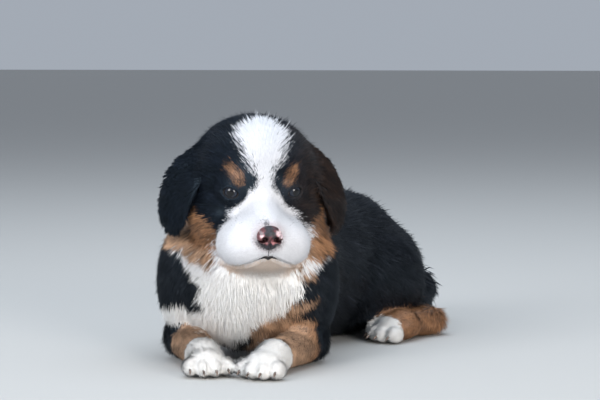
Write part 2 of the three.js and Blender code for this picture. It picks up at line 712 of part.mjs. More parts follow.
eachSide((side, s) => {
  const { elbow, wrist } = FORE[side];
  const forwards = new THREE.Vector3(...wrist).sub(new THREE.Vector3(...elbow));
  const cutAt = new THREE.Vector3(...elbow).addScaledVector(forwards, 0.4);
  const heading = forwards.clone().normalize().add(new THREE.Vector3(0, 0, -0.9));
  const leg = foreLeg(side, s);
  const upper = [`upperarm_${side}`, coats.black, elbowFeathers(side, s, leg.field)];
  addParted(leg, cutAt, heading, upper, [`forearm_${side}`, coats.tan]);
  const hind = hindLeg(s);
  add(`hindleg_${side}`, hind, coats.black, trousers(s, hind.field));
});
const tailCut = tailPath[3].slice(0, 3);
addParted(
  tail,
  tailCut,
  [-1, 0, -0.1],
  ["tail_base", coats.black, tailBrush(0.9, 2.2, 4, 801)],
  ["tail_tip", coats.black, tailBrush(3.1, 4.7, 7, 851)],
);

// The locks are cut clear of every other piece, and of the locks that were fused before them.
const limbOf = (name) => name.replace(/^(upperarm|forearm)/, "foreleg").replace(/_(base|tip)$/, "");
const sameLimb = (a, b) => limbOf(a) === limbOf(b);
const fused = [];
for (const { name, solid, material, locks } of pieces) {
  let whole = solid;
  if (locks.length) {
    const others = pieces.filter((one) => one.clear && !sameLimb(one.name, name)).map((one) => one.clear);
    const group = lockGroup(locks);
    whole = largest(solid.add(cutBy(group.solid, [ground, ...others, ...fused])));
    fused.push(group.clear);
  }
  const mesh = new THREE.Mesh(geometryOf(whole), material);
  mesh.name = name;
  body.add(mesh);
}

// The origin lies on the floor, under the middle of the whole animal.
const box = new THREE.Box3().setFromObject(root);
body.position.set(-(box.min.x + box.max.x) / 2, -(box.min.y + box.max.y) / 2, -FLOOR);

export default root;
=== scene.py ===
"""A Bernese mountain dog puppy, life size, lying on its chest with its head up, finished in Blender."""

import math

import bpy
import numpy as np
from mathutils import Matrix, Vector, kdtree


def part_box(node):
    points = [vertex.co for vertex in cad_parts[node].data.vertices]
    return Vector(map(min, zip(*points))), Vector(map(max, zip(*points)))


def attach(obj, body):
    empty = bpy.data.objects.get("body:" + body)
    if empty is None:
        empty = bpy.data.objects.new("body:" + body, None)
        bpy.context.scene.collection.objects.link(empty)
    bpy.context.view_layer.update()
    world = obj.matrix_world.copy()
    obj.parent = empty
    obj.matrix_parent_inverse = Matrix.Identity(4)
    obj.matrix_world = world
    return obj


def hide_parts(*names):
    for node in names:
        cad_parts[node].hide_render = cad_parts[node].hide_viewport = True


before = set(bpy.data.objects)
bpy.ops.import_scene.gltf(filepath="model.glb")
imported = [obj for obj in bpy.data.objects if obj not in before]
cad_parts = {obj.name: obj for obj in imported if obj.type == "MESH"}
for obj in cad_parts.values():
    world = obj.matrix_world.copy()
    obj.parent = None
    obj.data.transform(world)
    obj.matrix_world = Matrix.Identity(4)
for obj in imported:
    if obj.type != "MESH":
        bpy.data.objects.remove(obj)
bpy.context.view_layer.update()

# ------------------------------------------------------------------------------------------------
# Camera. It kneels on the ground about a metre and a half away, a little to the pup's left, and
# looks slightly down at its face through a long lens.
CAMERA_TURN, CAMERA_DIP = 30, 4.1
camera = bpy.data.objects.new("camera", bpy.data.cameras.new("camera"))
bpy.context.collection.objects.link(camera)
camera.data.lens = 113.94
camera.location = (0.8036, -1.3773, 0.235)
camera.rotation_euler = (math.radians(90 - CAMERA_DIP), 0, math.radians(CAMERA_TURN))
bpy.context.scene.camera = camera

# ------------------------------------------------------------------------------------------------
# The skin. One loose, soft hide covers the head, trunk, legs and tail without a seam. It is drawn
# in millimetres round the same forms as the solids, and lies inside them by the depth of the coat.
MM = 0.001
FAR = 40.0


def cos_sin(degrees):
    return math.cos(math.radians(degrees)), math.sin(math.radians(degrees))


def turning(turn, tilt=0.0):
    """The matrix that tilts about X and then turns about Z, in degrees."""
    c, s = cos_sin(turn)
    about_z = np.array([[c, -s, 0], [s, c, 0], [0, 0, 1]])
    c, s = cos_sin(tilt)
    return about_z @ np.array([[1, 0, 0], [0, c, -s], [0, s, c]])


def egg(centre, radii, turn=0.0):
    """An ellipsoid: its distance field, and its lowest and highest corner."""
    axes, c, r = turning(turn), np.array(centre, float), np.array(radii, float)

    def distance(x, y, z):
        dx, dy, dz = x - c[0], y - c[1], z - c[2]
        u, v, w = ((axes[0, n] * dx + axes[1, n] * dy + axes[2, n] * dz) / r[n] for n in range(3))
        near = np.sqrt(u * u + v * v + w * w)
        slope = np.sqrt((u / r[0]) ** 2 + (v / r[1]) ** 2 + (w / r[2]) ** 2)
        return near * (near - 1) / np.maximum(slope, 1e-6)

    reach = np.sqrt(((axes * r) ** 2).sum(1))
    return distance, c - reach, c + reach


def limb(start, end, from_radius, to_radius):
    """A rounded, tapered rod between two points."""
    a, b = np.array(start, float), np.array(end, float)
    v = b - a

    def distance(x, y, z):
        px, py, pz = x - a[0], y - a[1], z - a[2]
        t = np.clip((px * v[0] + py * v[1] + pz * v[2]) / (v @ v), 0, 1)
        away = np.sqrt((px - t * v[0]) ** 2 + (py - t * v[1]) ** 2 + (pz - t * v[2]) ** 2)
        return away - (from_radius + (to_radius - from_radius) * t)

    thick = max(from_radius, to_radius)
    return distance, np.minimum(a, b) - thick, np.maximum(a, b) + thick


def melt(softness, one, other):
    """The nearer of two distances, with a soft fillet where they are alike."""
    fillet = np.maximum(softness - np.abs(one - other), 0) / softness
    return np.minimum(one, other) - fillet * fillet * softness / 4


def flow(softness, forms):
    """Several forms that flow into one another."""

    def distance(x, y, z):
        total = forms[0][0](x, y, z)
        for form in forms[1:]:
            total = melt(softness, total, form[0](x, y, z))
        return total

    low = np.min([form[1] for form in forms], 0) - softness / 4
    high = np.max([form[2] for form in forms], 0) + softness / 4
    return distance, low, high


def thinned(form, depth):
    """A form whose surface lies deeper by the depth of the coat."""
    distance, low, high = form
    return lambda x, y, z: distance(x, y, z) + depth, low, high


def level_frame(at, turn):
    """Places on a frame that lies level: out to the pup's left, ahead to its front, and up."""
    c, s = cos_sin(turn)

    def place(out, ahead, up=0.0):
        return np.array([at[0] + c * out + s * ahead, at[1] + s * out - c * ahead, up])

    return place


def on_level(points, at, turn):
    """How far points lie out and ahead on a level frame."""
    c, s = cos_sin(turn)
    dx, dy = points[:, 0] - at[0], points[:, 1] - at[1]
    return c * dx + s * dy, s * dx - c * dy


SIDES = {"left": 1, "right": -1}
BOTH = (1, -1)
SHOULDER_TURN, PELVIS_TURN = 17, -20
SHOULDER_AT = (15, -27)
shoulder = level_frame(SHOULDER_AT, SHOULDER_TURN)
pelvis = level_frame((14, 184), PELVIS_TURN)
HEAD_AT = np.array([24.3, -32.4, 142.0])
HEAD = turning(41, 12)
EYE_AT = np.array([22.6, -36.5, 3.4])
EYE_RADIUS, EYE_TURN, LID_TILT = 7.8, 24, 8
EYE_OPENING = (6.4, 4.0)

# The solids were centred on the ground under the whole body, and the skin follows them there.
eye_low, eye_high = (np.array(corner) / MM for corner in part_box("eye_left"))
CENTRING = (eye_low + eye_high) / 2 - (HEAD_AT + HEAD @ EYE_AT)


def mirrored(point, side):
    return np.array([point[0] * side, point[1], point[2]], float)


def eye_axes(s):
    """Along the opening between the lids, out of it, and up across it."""
    (gaze_cos, gaze_sin), (tilt_cos, tilt_sin) = cos_sin(EYE_TURN), cos_sin(LID_TILT)
    gaze = np.array([s * gaze_sin, -gaze_cos, 0])
    along = np.array([gaze_cos * tilt_cos, s * gaze_sin * tilt_cos, s * tilt_sin])
    return along, gaze, np.cross(gaze, along)


def to_head(x, y, z):
    """The head's own coordinates: the nose points to -Y, and the middle of the skull is the origin."""
    dx, dy, dz = x - HEAD_AT[0], y - HEAD_AT[1], z - HEAD_AT[2]
    return [HEAD[0, n] * dx + HEAD[1, n] * dy + HEAD[2, n] * dz for n in range(3)]


def seen_from_head(points):
    return np.stack(to_head(*points.T), 1)


def ramp(value, start, end):
    """0 below start and 1 above end, with an easy slope between."""
    t = np.clip((value - start) / (end - start), 0, 1)
    return t * t * (3 - 2 * t)


# The skull, cheeks, muzzle and brows, as in the solids.
skull = flow(9, [
    flow(13, [
        flow(20, [egg((0, 6, 4), (51, 51, 49)), egg((0, -18, 20), (36, 26, 27))]
             + [egg((28 * s, -10, -22), (25, 32, 26)) for s in BOTH]),
        egg((0, -50, -31), (28, 27, 22)),
        *[egg((17 * s, -51, -36), (19.5, 21, 17)) for s in BOTH],
        limb((0, -38, -8), (0, -68, -17), 12.5, 8.5),
    ]),
    egg((0, -46, -46), (20, 22, 13)),
    *[egg((20 * s, -33, 14), (11, 9, 8)) for s in BOTH],
])
HALF_MOUTH = [(32, -24, -43), (33, -40, -48), (26, -57, -50), (13, -71, -44.5), (5, -75, -40)]
MOUTH = [mirrored(p, -1) for p in HALF_MOUTH] + [np.array([0, -76.0, -38.0])]
MOUTH += [mirrored(p, 1) for p in reversed(HALF_MOUTH)]
LIP_SPLIT = [(0, -79, -29), (0, -78, -33), (0, -76, -38)]


def face(x, y, z):
    """The head's skin, with the eye sockets and the line of the mouth sunk into it."""
    hx, hy, hz = to_head(x, y, z)
    # The coat is thin on the muzzle and round the eyes, and deeper on the skull and cheeks.
    from_eye = np.sqrt((np.abs(hx) - EYE_AT[0] - 2) ** 2 + (hy + 43) ** 2 + (hz - EYE_AT[2]) ** 2)
    surface = skull[0](hx, hy, hz) + (1.2 + 2.0 * ramp(hy, -62, -30) * ramp(from_eye, 7, 18))
    for s in BOTH:
        # The lids are the skin's own swelling over the eyeball, with an almond-shaped opening in it.
        away = [h - c for h, c in zip((hx, hy, hz), mirrored(EYE_AT, s))]
        ball = np.sqrt(sum(a * a for a in away)) - EYE_RADIUS
        u, ahead, v = (sum(a * b for a, b in zip(away, axis)) for axis in eye_axes(s))
        opening = 4 * (np.hypot(u / EYE_OPENING[0], v / EYE_OPENING[1]) - 1)
        surface = melt(5, surface, ball - 0.7)
        surface = np.maximum(surface, -np.maximum(opening, 1 - ahead))
        surface = np.maximum(surface, -(ball - 0.1))
    for line, width, depth in ((MOUTH, 1.6, 1.8), (LIP_SPLIT, 0.8, 0.9)):
        near = np.full(surface.shape, FAR)
        for a, b in zip(line, line[1:]):
            near = np.minimum(near, limb(a, b, 0, 0)[0](hx, hy, hz))
        surface = surface + depth * (1 - ramp(near, 0, width + 1.5))
    return surface


# An ear is a soft flap that hangs from the side of the skull, cupped on its inner face.
EAR_ROOT = (42, 4, 28)
EAR_DROP, EAR_HALF_WIDTH, EAR_TURN, EAR_THICK = 66, 22, 34, 3.0


def ear_place(x, y, z, side):
    """How far down the ear and across it a place is, the ear's half width there, and how far the place
    lies out from the ear's middle sheet."""
    hx, hy, hz = to_head(x, y, z)
    c, s = cos_sin(EAR_TURN)
    dx, dy = hx * side - EAR_ROOT[0], hy - EAR_ROOT[1]
    across, out = s * dx + c * dy, c * dx - s * dy
    down = (across ** 2 / 90 - (hz - EAR_ROOT[2])) / EAR_DROP
    t = np.clip(down, 0, 1)
    half = EAR_HALF_WIDTH * np.sin(np.pi * (0.3 + 0.45 * t)) ** 0.7
    bulge = 33 * np.sin(np.pi * (0.03 + 0.6 * t)) - 5 - 5 * (across / half) ** 2 * np.sin(np.pi * t)
    return down, across, half, out - bulge


def ear(side):
    def distance(x, y, z):
        down, across, half, off = ear_place(x, y, z, side)
        u = across / (half - 4)
        v = (down - 0.45) / 0.47
        round_edge = (np.sqrt(u * u + v * v + 1e-6) - 1) * (half - 4)
        slant = 1 + 0.6 * np.exp(-((down - 0.05) / 0.3) ** 2)
        thick = EAR_THICK / 2 * (0.35 + 0.65 * np.sqrt(np.clip(1 - u * u - v * v, 0, 1)))
        return np.maximum(round_edge * 0.8, np.abs(off) / slant - thick)

    corners = np.array([HEAD_AT + HEAD @ mirrored((x, y, z), side)
                        for x in (30, 80) for y in (-32, 36) for z in (-46, 36)])
    return distance, corners.min(0), corners.max(0)


neck = flow(16, [
    limb((8, 8, 92), (20, -14, 122), 54, 50),
    egg((24, -44, 88), (40, 30, 30), SHOULDER_TURN),
])
torso = flow(26, [
    egg(shoulder(0, 14, 62), (50, 40, 52), SHOULDER_TURN),
    egg((3, 20, 68), (59, 62, 62), 8),
    egg((-4, 82, 64), (64, 66, 68)),
    egg((2, 142, 61), (60, 62, 66), -12),
    egg(pelvis(0, -8, 49), (45, 40, 46), PELVIS_TURN),
])
FORE = {
    "left": {"elbow": (66, -20, 17.5), "wrist": (74, -80, 13.5), "paw": (76, -103), "turn": 8},
    "right": {"elbow": (-29, -50, 17.5), "wrist": (14, -96, 13.5), "paw": (33, -115), "turn": 40},
}
HIND = {side: {"paw": pelvis(78 * s, 48)[:2], "turn": PELVIS_TURN - 4 * s} for side, s in SIDES.items()}
HOCK = {side: pelvis(68 * s, -10, 13.5) for side, s in SIDES.items()}
TAIL = [((22, 218, 54), 15), ((30, 242, 32), 14), ((22, 255, 15), 13), ((-6, 258, 11), 12),
        ((-36, 246, 10), 10), ((-58, 222, 8), 6.5)]
TOES = (-1.5, -0.5, 0.5, 1.5)
TOE_SPLAY = 7


def toe_at(place, n):
    """The middle of a toe: they stand side by side, and the two in the middle reach further ahead."""
    return place(8.4 * n, 10 - 2.6 * n * n, 7.9)


def fore_leg(side):
    upper = egg(shoulder(47 * SIDES[side], 0, 62), (27, 38, 50), SHOULDER_TURN)
    return flow(10, [upper, limb(FORE[side]["elbow"], FORE[side]["wrist"], 19, 14.5)])


def hind_leg(side):
    s = SIDES[side]
    thigh = egg(pelvis(50 * s, 30, 44), (25, 44, 42), PELVIS_TURN)
    return flow(10, [thigh, limb(HOCK[side], pelvis(76 * s, 32, 12), 15, 13)])


def paw(leg):
    turn = leg["turn"]
    place = level_frame(leg["paw"], turn)
    back = flow(6, [
        egg(place(0, -3, 12), (15, 16, 11), turn),
        egg(place(0, -15, 14), (13, 13, 12), turn),
    ])
    toes = [egg(toe_at(place, n), (8, 10.5, 8.5), turn + TOE_SPLAY * n) for n in TOES]
    return flow(2.5, [back, *toes])


head_reach = np.array([HEAD_AT + HEAD @ np.array((x, y, z))
                       for x in (-58, 58) for y in (-85, 60) for z in (-64, 56)])
tail = flow(6, [limb(a, b, r, q) for (a, r), (b, q) in zip(TAIL, TAIL[1:])])
# Each part's form, thinned by the coat, and how softly it melts into the parts before it.
BODY = {
    "torso": (thinned(torso, 5.5), 10),
    "neck": (thinned(neck, 5), 24),
    "fore_left": (thinned(fore_leg("left"), 3.6), 14),
    "fore_right": (thinned(fore_leg("right"), 3.6), 14),
    "hind_left": (thinned(hind_leg("left"), 4.5), 15),
    "hind_right": (thinned(hind_leg("right"), 4.5), 15),
    "forepaw_left": (thinned(paw(FORE["left"]), 1.8), 12),
    "forepaw_right": (thinned(paw(FORE["right"]), 1.8), 12),
    "hindpaw_left": (thinned(paw(HIND["left"]), 1.8), 12),
    "hindpaw_right": (thinned(paw(HIND["right"]), 1.8), 12),
    "tail": (thinned(tail, 4), 9),
    "head": ((face, head_reach.min(0), head_reach.max(0)), 9),
    "ear_left": (ear(1), 3.5),
    "ear_right": (ear(-1), 3.5),
}
GROUPS = list(BODY)
FLOOR_SKIN = 0.5
NEARBY = 12


def distances(points):
    """Each body part's own distance at points, one row for each part."""
    x, y, z = points.T
    rows = np.full((len(BODY), len(points)), FAR)
    for row, ((distance, low, high), _) in zip(rows, BODY.values()):
        near = np.all((points > low - NEARBY) & (points < high + NEARBY), axis=1)
        row[near] = distance(x[near], y[near], z[near])
    return rows


def skin_distance(points):
    total = np.full(len(points), FAR)
    for row, (_, softness) in zip(distances(points), BODY.values()):
        total = melt(softness, total, row)
    return np.maximum(total, FLOOR_SKIN - points[:, 2])


def slope_of(field, points, step=0.25):
    slopes = np.empty_like(points)
    for n in range(3):
        shift = np.zeros(3)
        shift[n] = step
        slopes[:, n] = (field(points + shift) - field(points - shift)) / (2 * step)
    return slopes


def settled(points, field, most, step=0.25):
    """Points moved onto the surface where a field is zero, each by no more than the most given."""
    slope = slope_of(field, points, step)
    moves = field(points) / np.maximum((slope ** 2).sum(1), 0.1)
    return points - slope * np.clip(moves, -most, most)[:, None]


def unit(vectors):
    return vectors / (np.linalg.norm(vectors, axis=-1, keepdims=True) + 1e-9)


def stations(*spans):
    """Grid lines through spans of (from, to, spacing) that follow on one another."""
    lines = [np.linspace(a, b, max(2, round((b - a) / step) + 1))[:-1] for a, b, step in spans]
    return np.concatenate([*lines, [spans[-1][1]]]).astype(np.float32)


def net(xs, ys, zs, value):
    """The closed mesh where a grid of distances is zero, with one corner in each cell it crosses."""
    inside = value < 0
    shape = tuple(n - 1 for n in value.shape)
    count = np.zeros(shape, np.int8)
    for i in (0, 1):
        for j in (0, 1):
            for k in (0, 1):
                count += inside[i:i + shape[0], j:j + shape[1], k:k + shape[2]]
    cells = np.argwhere((count > 0) & (count < 8))
    number = np.full(shape, -1, np.int32)
    number[tuple(cells.T)] = np.arange(len(cells))
    i, j, k = cells.T
    total, crossings = np.zeros((len(cells), 3)), np.zeros(len(cells))
    grid = (xs, ys, zs)
    for axis in range(3):
        others = [n for n in range(3) if n != axis]
        for p in (0, 1):
            for q in (0, 1):
                start = [i, j, k]
                start[others[0]] = start[others[0]] + p
                start[others[1]] = start[others[1]] + q
                end = list(start)
                end[axis] = end[axis] + 1
                a, b = value[tuple(start)], value[tuple(end)]
                cut = (a < 0) != (b < 0)
                t = np.where(cut, a / np.where(cut, a - b, 1), 0)
                for n in range(3):
                    at = grid[n][start[n]] + (t * (grid[n][end[n]] - grid[n][start[n]]) if n == axis else 0)
                    total[:, n] += np.where(cut, at, 0)
                crossings += cut
    corners = total / crossings[:, None]
    quads = []
    for axis in range(3):
        first, second = (axis + 1) % 3, (axis + 2) % 3
        low = [slice(1, -1)] * 3
        low[axis] = slice(0, -1)
        high = list(low)
        high[axis] = slice(1, None)
        a, b = inside[tuple(low)], inside[tuple(high)]
        for outward in (True, False):
            edges = np.argwhere((a & ~b) if outward else (~a & b))
            edges[:, first] += 1
            edges[:, second] += 1
            ring = []
            for back_first, back_second in ((1, 1), (0, 1), (0, 0), (1, 0)):
                cell = edges.copy()
                cell[:, first] -= back_first
                cell[:, second] -= back_second
                ring.append(number[tuple(cell.T)])
            quads.append(np.stack(ring if outward else ring[::-1], 1))
    return corners, np.concatenate(quads)


# The grid is finest at the face, and coarser at the belly, the sides and the hind quarters.
xs = stations((-118, -62, 2.8), (-62, -44, 1.8), (-44, 96, 1.3), (96, 112, 2.2))
ys = stations((-140, -112, 1.8), (-112, 30, 1.3), (30, 46, 2.0), (46, 276, 3.3))
zs = stations((-2, 40, 2.3), (40, 74, 2.0), (74, 202, 1.38))
value = np.full((len(xs), len(ys), len(zs)), FAR, np.float32)
for (distance, low, high), softness in BODY.values():
    window = []
    for lines, a, b in zip((xs, ys, zs), low, high):
        first, last = np.searchsorted(lines, [a - softness - 3, b + softness + 3])
        window.append(slice(max(first, 0), min(last, len(lines))))
    window = tuple(window)
    x, y, z = np.meshgrid(xs[window[0]], ys[window[1]], zs[window[2]], indexing="ij")
    value[window] = melt(softness, value[window], distance(x, y, z).astype(np.float32))
value = np.maximum(value, (FLOOR_SKIN - zs)[None, None, :])
skin_points, skin_quads = net(xs, ys, zs, value)
for _ in range(2):
    skin_points = settled(skin_points, skin_distance, 0.4)
skin_points[:, 2] = np.maximum(skin_points[:, 2], FLOOR_SKIN)
skin_normals = unit(slope_of(skin_distance, skin_points))


def mesh_piece(name, points, faces, colours=None, bake=None, normals=None):
    """A mesh object from points in millimetres, with the coat's colours and bake map if it has them.
    The faces are a table, or a list where they differ in their number of corners."""
    mesh = bpy.data.meshes.new(name)
    places = (points + CENTRING) * MM
    if isinstance(faces, list):
        mesh.from_pydata(places.tolist(), [], faces)
    else:
        mesh.vertices.add(len(places))
        mesh.vertices.foreach_set("co", places.astype(np.float32).ravel())
        mesh.loops.add(faces.size)
        mesh.loops.foreach_set("vertex_index", faces.astype(np.int32).ravel())
        mesh.polygons.add(len(faces))
        mesh.polygons.foreach_set("loop_start", np.arange(0, faces.size, faces.shape[1], dtype=np.int32))
    mesh.polygons.foreach_set("use_smooth", np.ones(len(faces), bool))
    mesh.update(calc_edges=True)
    if bake is not None:
        layer = mesh.uv_layers.new(name="OFBake")
        layer.data.foreach_set("uv", bake.astype(np.float32).ravel())
    if colours is not None:
        paint = mesh.color_attributes.new(name="Coat", type="FLOAT_COLOR", domain="POINT")
        rgba = np.concatenate([colours, np.ones((len(colours), 1))], 1)
        paint.data.foreach_set("color", rgba.astype(np.float32).ravel())
    if normals is not None:
        mesh.normals_split_custom_set_from_vertices(normals.astype(np.float32))
    piece = bpy.data.objects.new(name, mesh)
    bpy.context.collection.objects.link(piece)
    return piece


# Markings: black, with a white blaze, muzzle, chest, paws and tail tip, and tan between the two.
# The head's black is painted with a faint blue tint, as the sky's sheen on it. The body's black is painted
# lighter and greyer, as sheen.
BLUE_SHEENED_BLACK, SHEENED_BODY_BLACK = np.array([0.0045, 0.0062, 0.0105]), np.array([0.0098, 0.0108, 0.0140])
BROWNED, TAN = np.array([0.024, 0.0140, 0.0095]), np.array([0.32, 0.162, 0.080])
# The face's white is painted slightly blue, as sky light on it. The body's cream is painted brighter than
# that white, to lift the chest out of the head's shadow.
WHITE, CREAM_PAINTED_BRIGHT = np.array([0.71, 0.71, 0.735]), np.array([0.90, 0.87, 0.83])
# The chin's grey-tan is partly its own tan and partly painted shade under the mouth.
CHIN_TAN_AND_SHADE, FLEW = np.array([0.56, 0.45, 0.37]), np.array([0.60, 0.42, 0.30])
PINKISH, FRONT_GAIN = np.array([0.42, 0.32, 0.33]), np.array([0.10, 0.10, 0.085])
# The blaze: its half width at each angle up from straight ahead, seen from the middle of the skull.
BLAZE = np.array([
    (-60, 45), (-45, 41), (-34, 37), (-25, 31.5), (-18, 26), (-11, 19.5), (-5, 13.5), (0, 10), (5, 6.5),
    (10, 5.5), (17, 7.5), (28, 12.5), (42, 16.5), (55, 15.5), (64, 12), (74, 5), (82, -3), (90, -10),
], float)
# Outlines on the front of the trunk: out from the middle of the shoulders, and up.
CHEST = np.array([
    (-55, 94), (-49, 89), (-40, 86), (-28, 78), (-21, 71), (-27, 60), (-19, 55), (-24, 51), (-46, 52),
    (-66, 46), (-66, 31), (-46, 32), (-26, 28), (-16, 24), (-10, 17), (0, 25), (11, 36), (17, 42),
    (31, 49), (45, 56), (51, 62), (52, 68), (48, 74), (53, 78), (72, 92), (66, 92), (57, 84), (46, 78),
    (38, 90), (20, 120), (-10, 120), (-12, 82), (-26, 87), (-42, 92),
], float)
ARM_TAN = np.array([
    (9, 34), (17, 42), (31, 49), (48, 56), (60, 59), (58, 52), (41, 44), (42, 28), (30, 14), (6, 18),
], float)
THROAT_TAN = (
    np.array([(-64, 104), (-55, 94), (-42, 92), (-26, 87), (-12, 82), (-6, 100), (-14, 114), (-34, 124),
              (-48, 112)], float),
    np.array([(40, 84), (46, 78), (57, 84), (66, 92), (72, 104), (64, 116), (48, 116), (40, 100)], float),
)
# Spots over the eyes: middle, half size and turn. Patches on the cheek and lips: start, end and radius.
BROW_TAN = (((-20.6, 16.5), (4.8, 8.0), 30), ((19.6, 15.0), (4.2, 7.4), -24))
CHEEK_TAN = (
    ((55, -6, -33), (38, -36, -40), 12.5), ((52, -22, -18), (56, -8, -36), 9),
    ((38, -36, -40), (30, -50, -53), 8), ((44, -30, -26), (36, -46, -44), 8),
)


def within(u, v, outline):
    """How deep places lie inside an outline, in millimetres, negative outside."""
    deep = np.full(len(u), 1e9)
    inside = np.zeros(len(u), bool)
    for (ax, ay), (bx, by) in zip(outline, np.roll(outline, -1, 0)):
        ex, ey = bx - ax, by - ay
        t = np.clip(((u - ax) * ex + (v - ay) * ey) / (ex * ex + ey * ey), 0, 1)
        deep = np.minimum(deep, np.hypot(u - ax - t * ex, v - ay - t * ey))
        if ay != by:
            inside ^= ((ay > v) != (by > v)) & (u < ax + (v - ay) * ex / ey)
    return np.where(inside, deep, -deep)


def spot(points, centre, half, turn):
    """How deep places lie inside a rounded spot on the face, as a share of its size."""
    c, s = cos_sin(turn)
    u, v = points[:, 0] - centre[0], points[:, 2] - centre[1]
    return 1 - np.hypot((c * u + s * v) / half[0], (c * v - s * u) / half[1])


def wander(points, scale, seed):
    """A smooth, repeatable wandering value between -1 and 1 for each point."""
    phase = np.random.default_rng(seed).uniform(0, 6.28, (4, 3))
    turns = np.random.default_rng(seed + 1).normal(0, 1, (4, 3, 3))
    total = np.zeros(len(points))
    for turn, p in zip(turns, phase):
        q = points @ turn.T / scale
        total += np.sin(q[:, 0] + p[0]) * np.sin(q[:, 1] + p[1]) * np.sin(q[:, 2] + p[2] + 1.3)
    return np.clip(total, -1, 1)


def rod_distance(points, a, b):
    return limb(a, b, 0, 0)[0](*points.T)


def belongs(part, *names):
    return np.isin(part, [GROUPS.index(name) for name in names])


def toward(base, colour, amount):
    return base + (colour - base) * amount[:, None]


def white_at(points, head, part):
    """How deep places lie inside the white, in millimetres: blaze, muzzle, chest, paws and tail tip."""
    hx, hy, hz = head.T
    is_head, trunk = belongs(part, "head"), belongs(part, "torso", "neck", "fore_left", "fore_right")
    angle = np.degrees(np.arctan2(hz - 4, -(hy - 6)))
    middle = 7 * ramp(angle, 60, 84) + 2.5 * ramp(-angle, 2, 20)
    blaze = np.interp(angle, BLAZE[:, 0], BLAZE[:, 1], left=45, right=-20) - np.abs(hx - middle)
    left_dip = ramp(-angle, 4, 12) * (1 - ramp(-angle, 28, 40))
    blaze = blaze - 5 * np.where(hx < 0, ramp(-angle, 18, 30), left_dip)
    blaze = np.where(hz < 6, np.minimum(blaze, -hy - 27), blaze)
    under_lips = np.minimum(30 - np.abs(hx), -hy - 22)
    blaze = np.where((hz < -40) & (hy > -64), np.maximum(blaze, under_lips), blaze)
    blaze = np.maximum(blaze, np.minimum(-hy - 46, -hz - 14))
    under_chin = np.minimum(34 - np.abs(hx), np.minimum(-hz - 44, 10 - hy))
    white = np.where(is_head, np.maximum(blaze, under_chin), -FAR)
    out, ahead = on_level(points, SHOULDER_AT, SHOULDER_TURN)
    chest = np.minimum(within(out, points[:, 2], CHEST), ahead - 8)
    white = np.where(trunk, np.maximum(white, chest), white)
    for legs, name, back, shy in ((FORE, "fore", -24, 0), (HIND, "hind", -2, 5.5)):
        for side, leg in legs.items():
            aside, forward = on_level(points, leg["paw"], leg["turn"])
            toes = np.minimum(forward - back, 30 - np.abs(aside))
            foot = level_frame(leg["paw"], leg["turn"])
            reach = np.where(belongs(part, f"{name}paw_{side}"), 28, 21 - shy)
            paw_white = np.minimum(toes, reach - rod_distance(points, foot(0, -30, 13), foot(0, 12, 8)))
            owner = belongs(part, f"{name}paw_{side}", f"{name}_{side}")
            white = np.where(owner, np.maximum(white, paw_white), white)
    tip = 24 - np.linalg.norm(points - TAIL[-1][0], axis=1)
    return np.where(belongs(part, "tail"), tip, white)


def tan_at(points, head, part):
    """How deep places lie inside the tan: over each eye, on the cheeks, beside the bib, down the legs
    and under the root of the tail."""
    hy, hz = head[:, 1], head[:, 2]
    is_head, trunk = belongs(part, "head"), belongs(part, "torso", "neck", "fore_left", "fore_right")
    tan = np.full(len(points), -FAR)
    for centre, half, turn in BROW_TAN:
        tan = np.where(is_head & (hy < -20), np.maximum(tan, 7 * spot(head, centre, half, turn)), tan)
    off_cheek = belongs(part, "ear_left", "ear_right") | (hy > 8)
    for s in BOTH:
        for start, end, radius in CHEEK_TAN:
            patch = radius - rod_distance(head, mirrored(start, s), mirrored(end, s))
            tan = np.maximum(tan, np.where(off_cheek, -FAR, patch))
    out, ahead = on_level(points, SHOULDER_AT, SHOULDER_TURN)
    up = points[:, 2]
    tan = np.where(trunk, np.maximum(tan, np.minimum(within(out, up, ARM_TAN), ahead - 15)), tan)
    for outline in THROAT_TAN:
        throat = np.minimum(within(out, up, outline), ahead - 4 + 0.5 * (104 - up))
        tan = np.where(trunk, np.maximum(tan, throat), tan)
    for side, s in SIDES.items():
        elbow, wrist = FORE[side]["elbow"], FORE[side]["wrist"]
        fore_arm = np.array(wrist) - elbow
        along = (points - elbow) @ fore_arm / np.linalg.norm(fore_arm)
        fore = np.minimum(25 - rod_distance(points, elbow, wrist), along - 8 - 10 * (side == "right"))
        tan = np.where(belongs(part, "fore_" + side), np.maximum(tan, fore), tan)
        shank = 19 - rod_distance(points, HOCK[side] + (0, 0, -4), pelvis(78 * s, 44, 10))
        tan = np.where(belongs(part, "hind_" + side, "hindpaw_" + side), np.maximum(tan, shank), tan)
    under_tail = 13 - rod_distance(points, (16, 236, 20), (18, 226, 36))
    return np.maximum(tan, np.where(hz < -60, under_tail, -FAR))


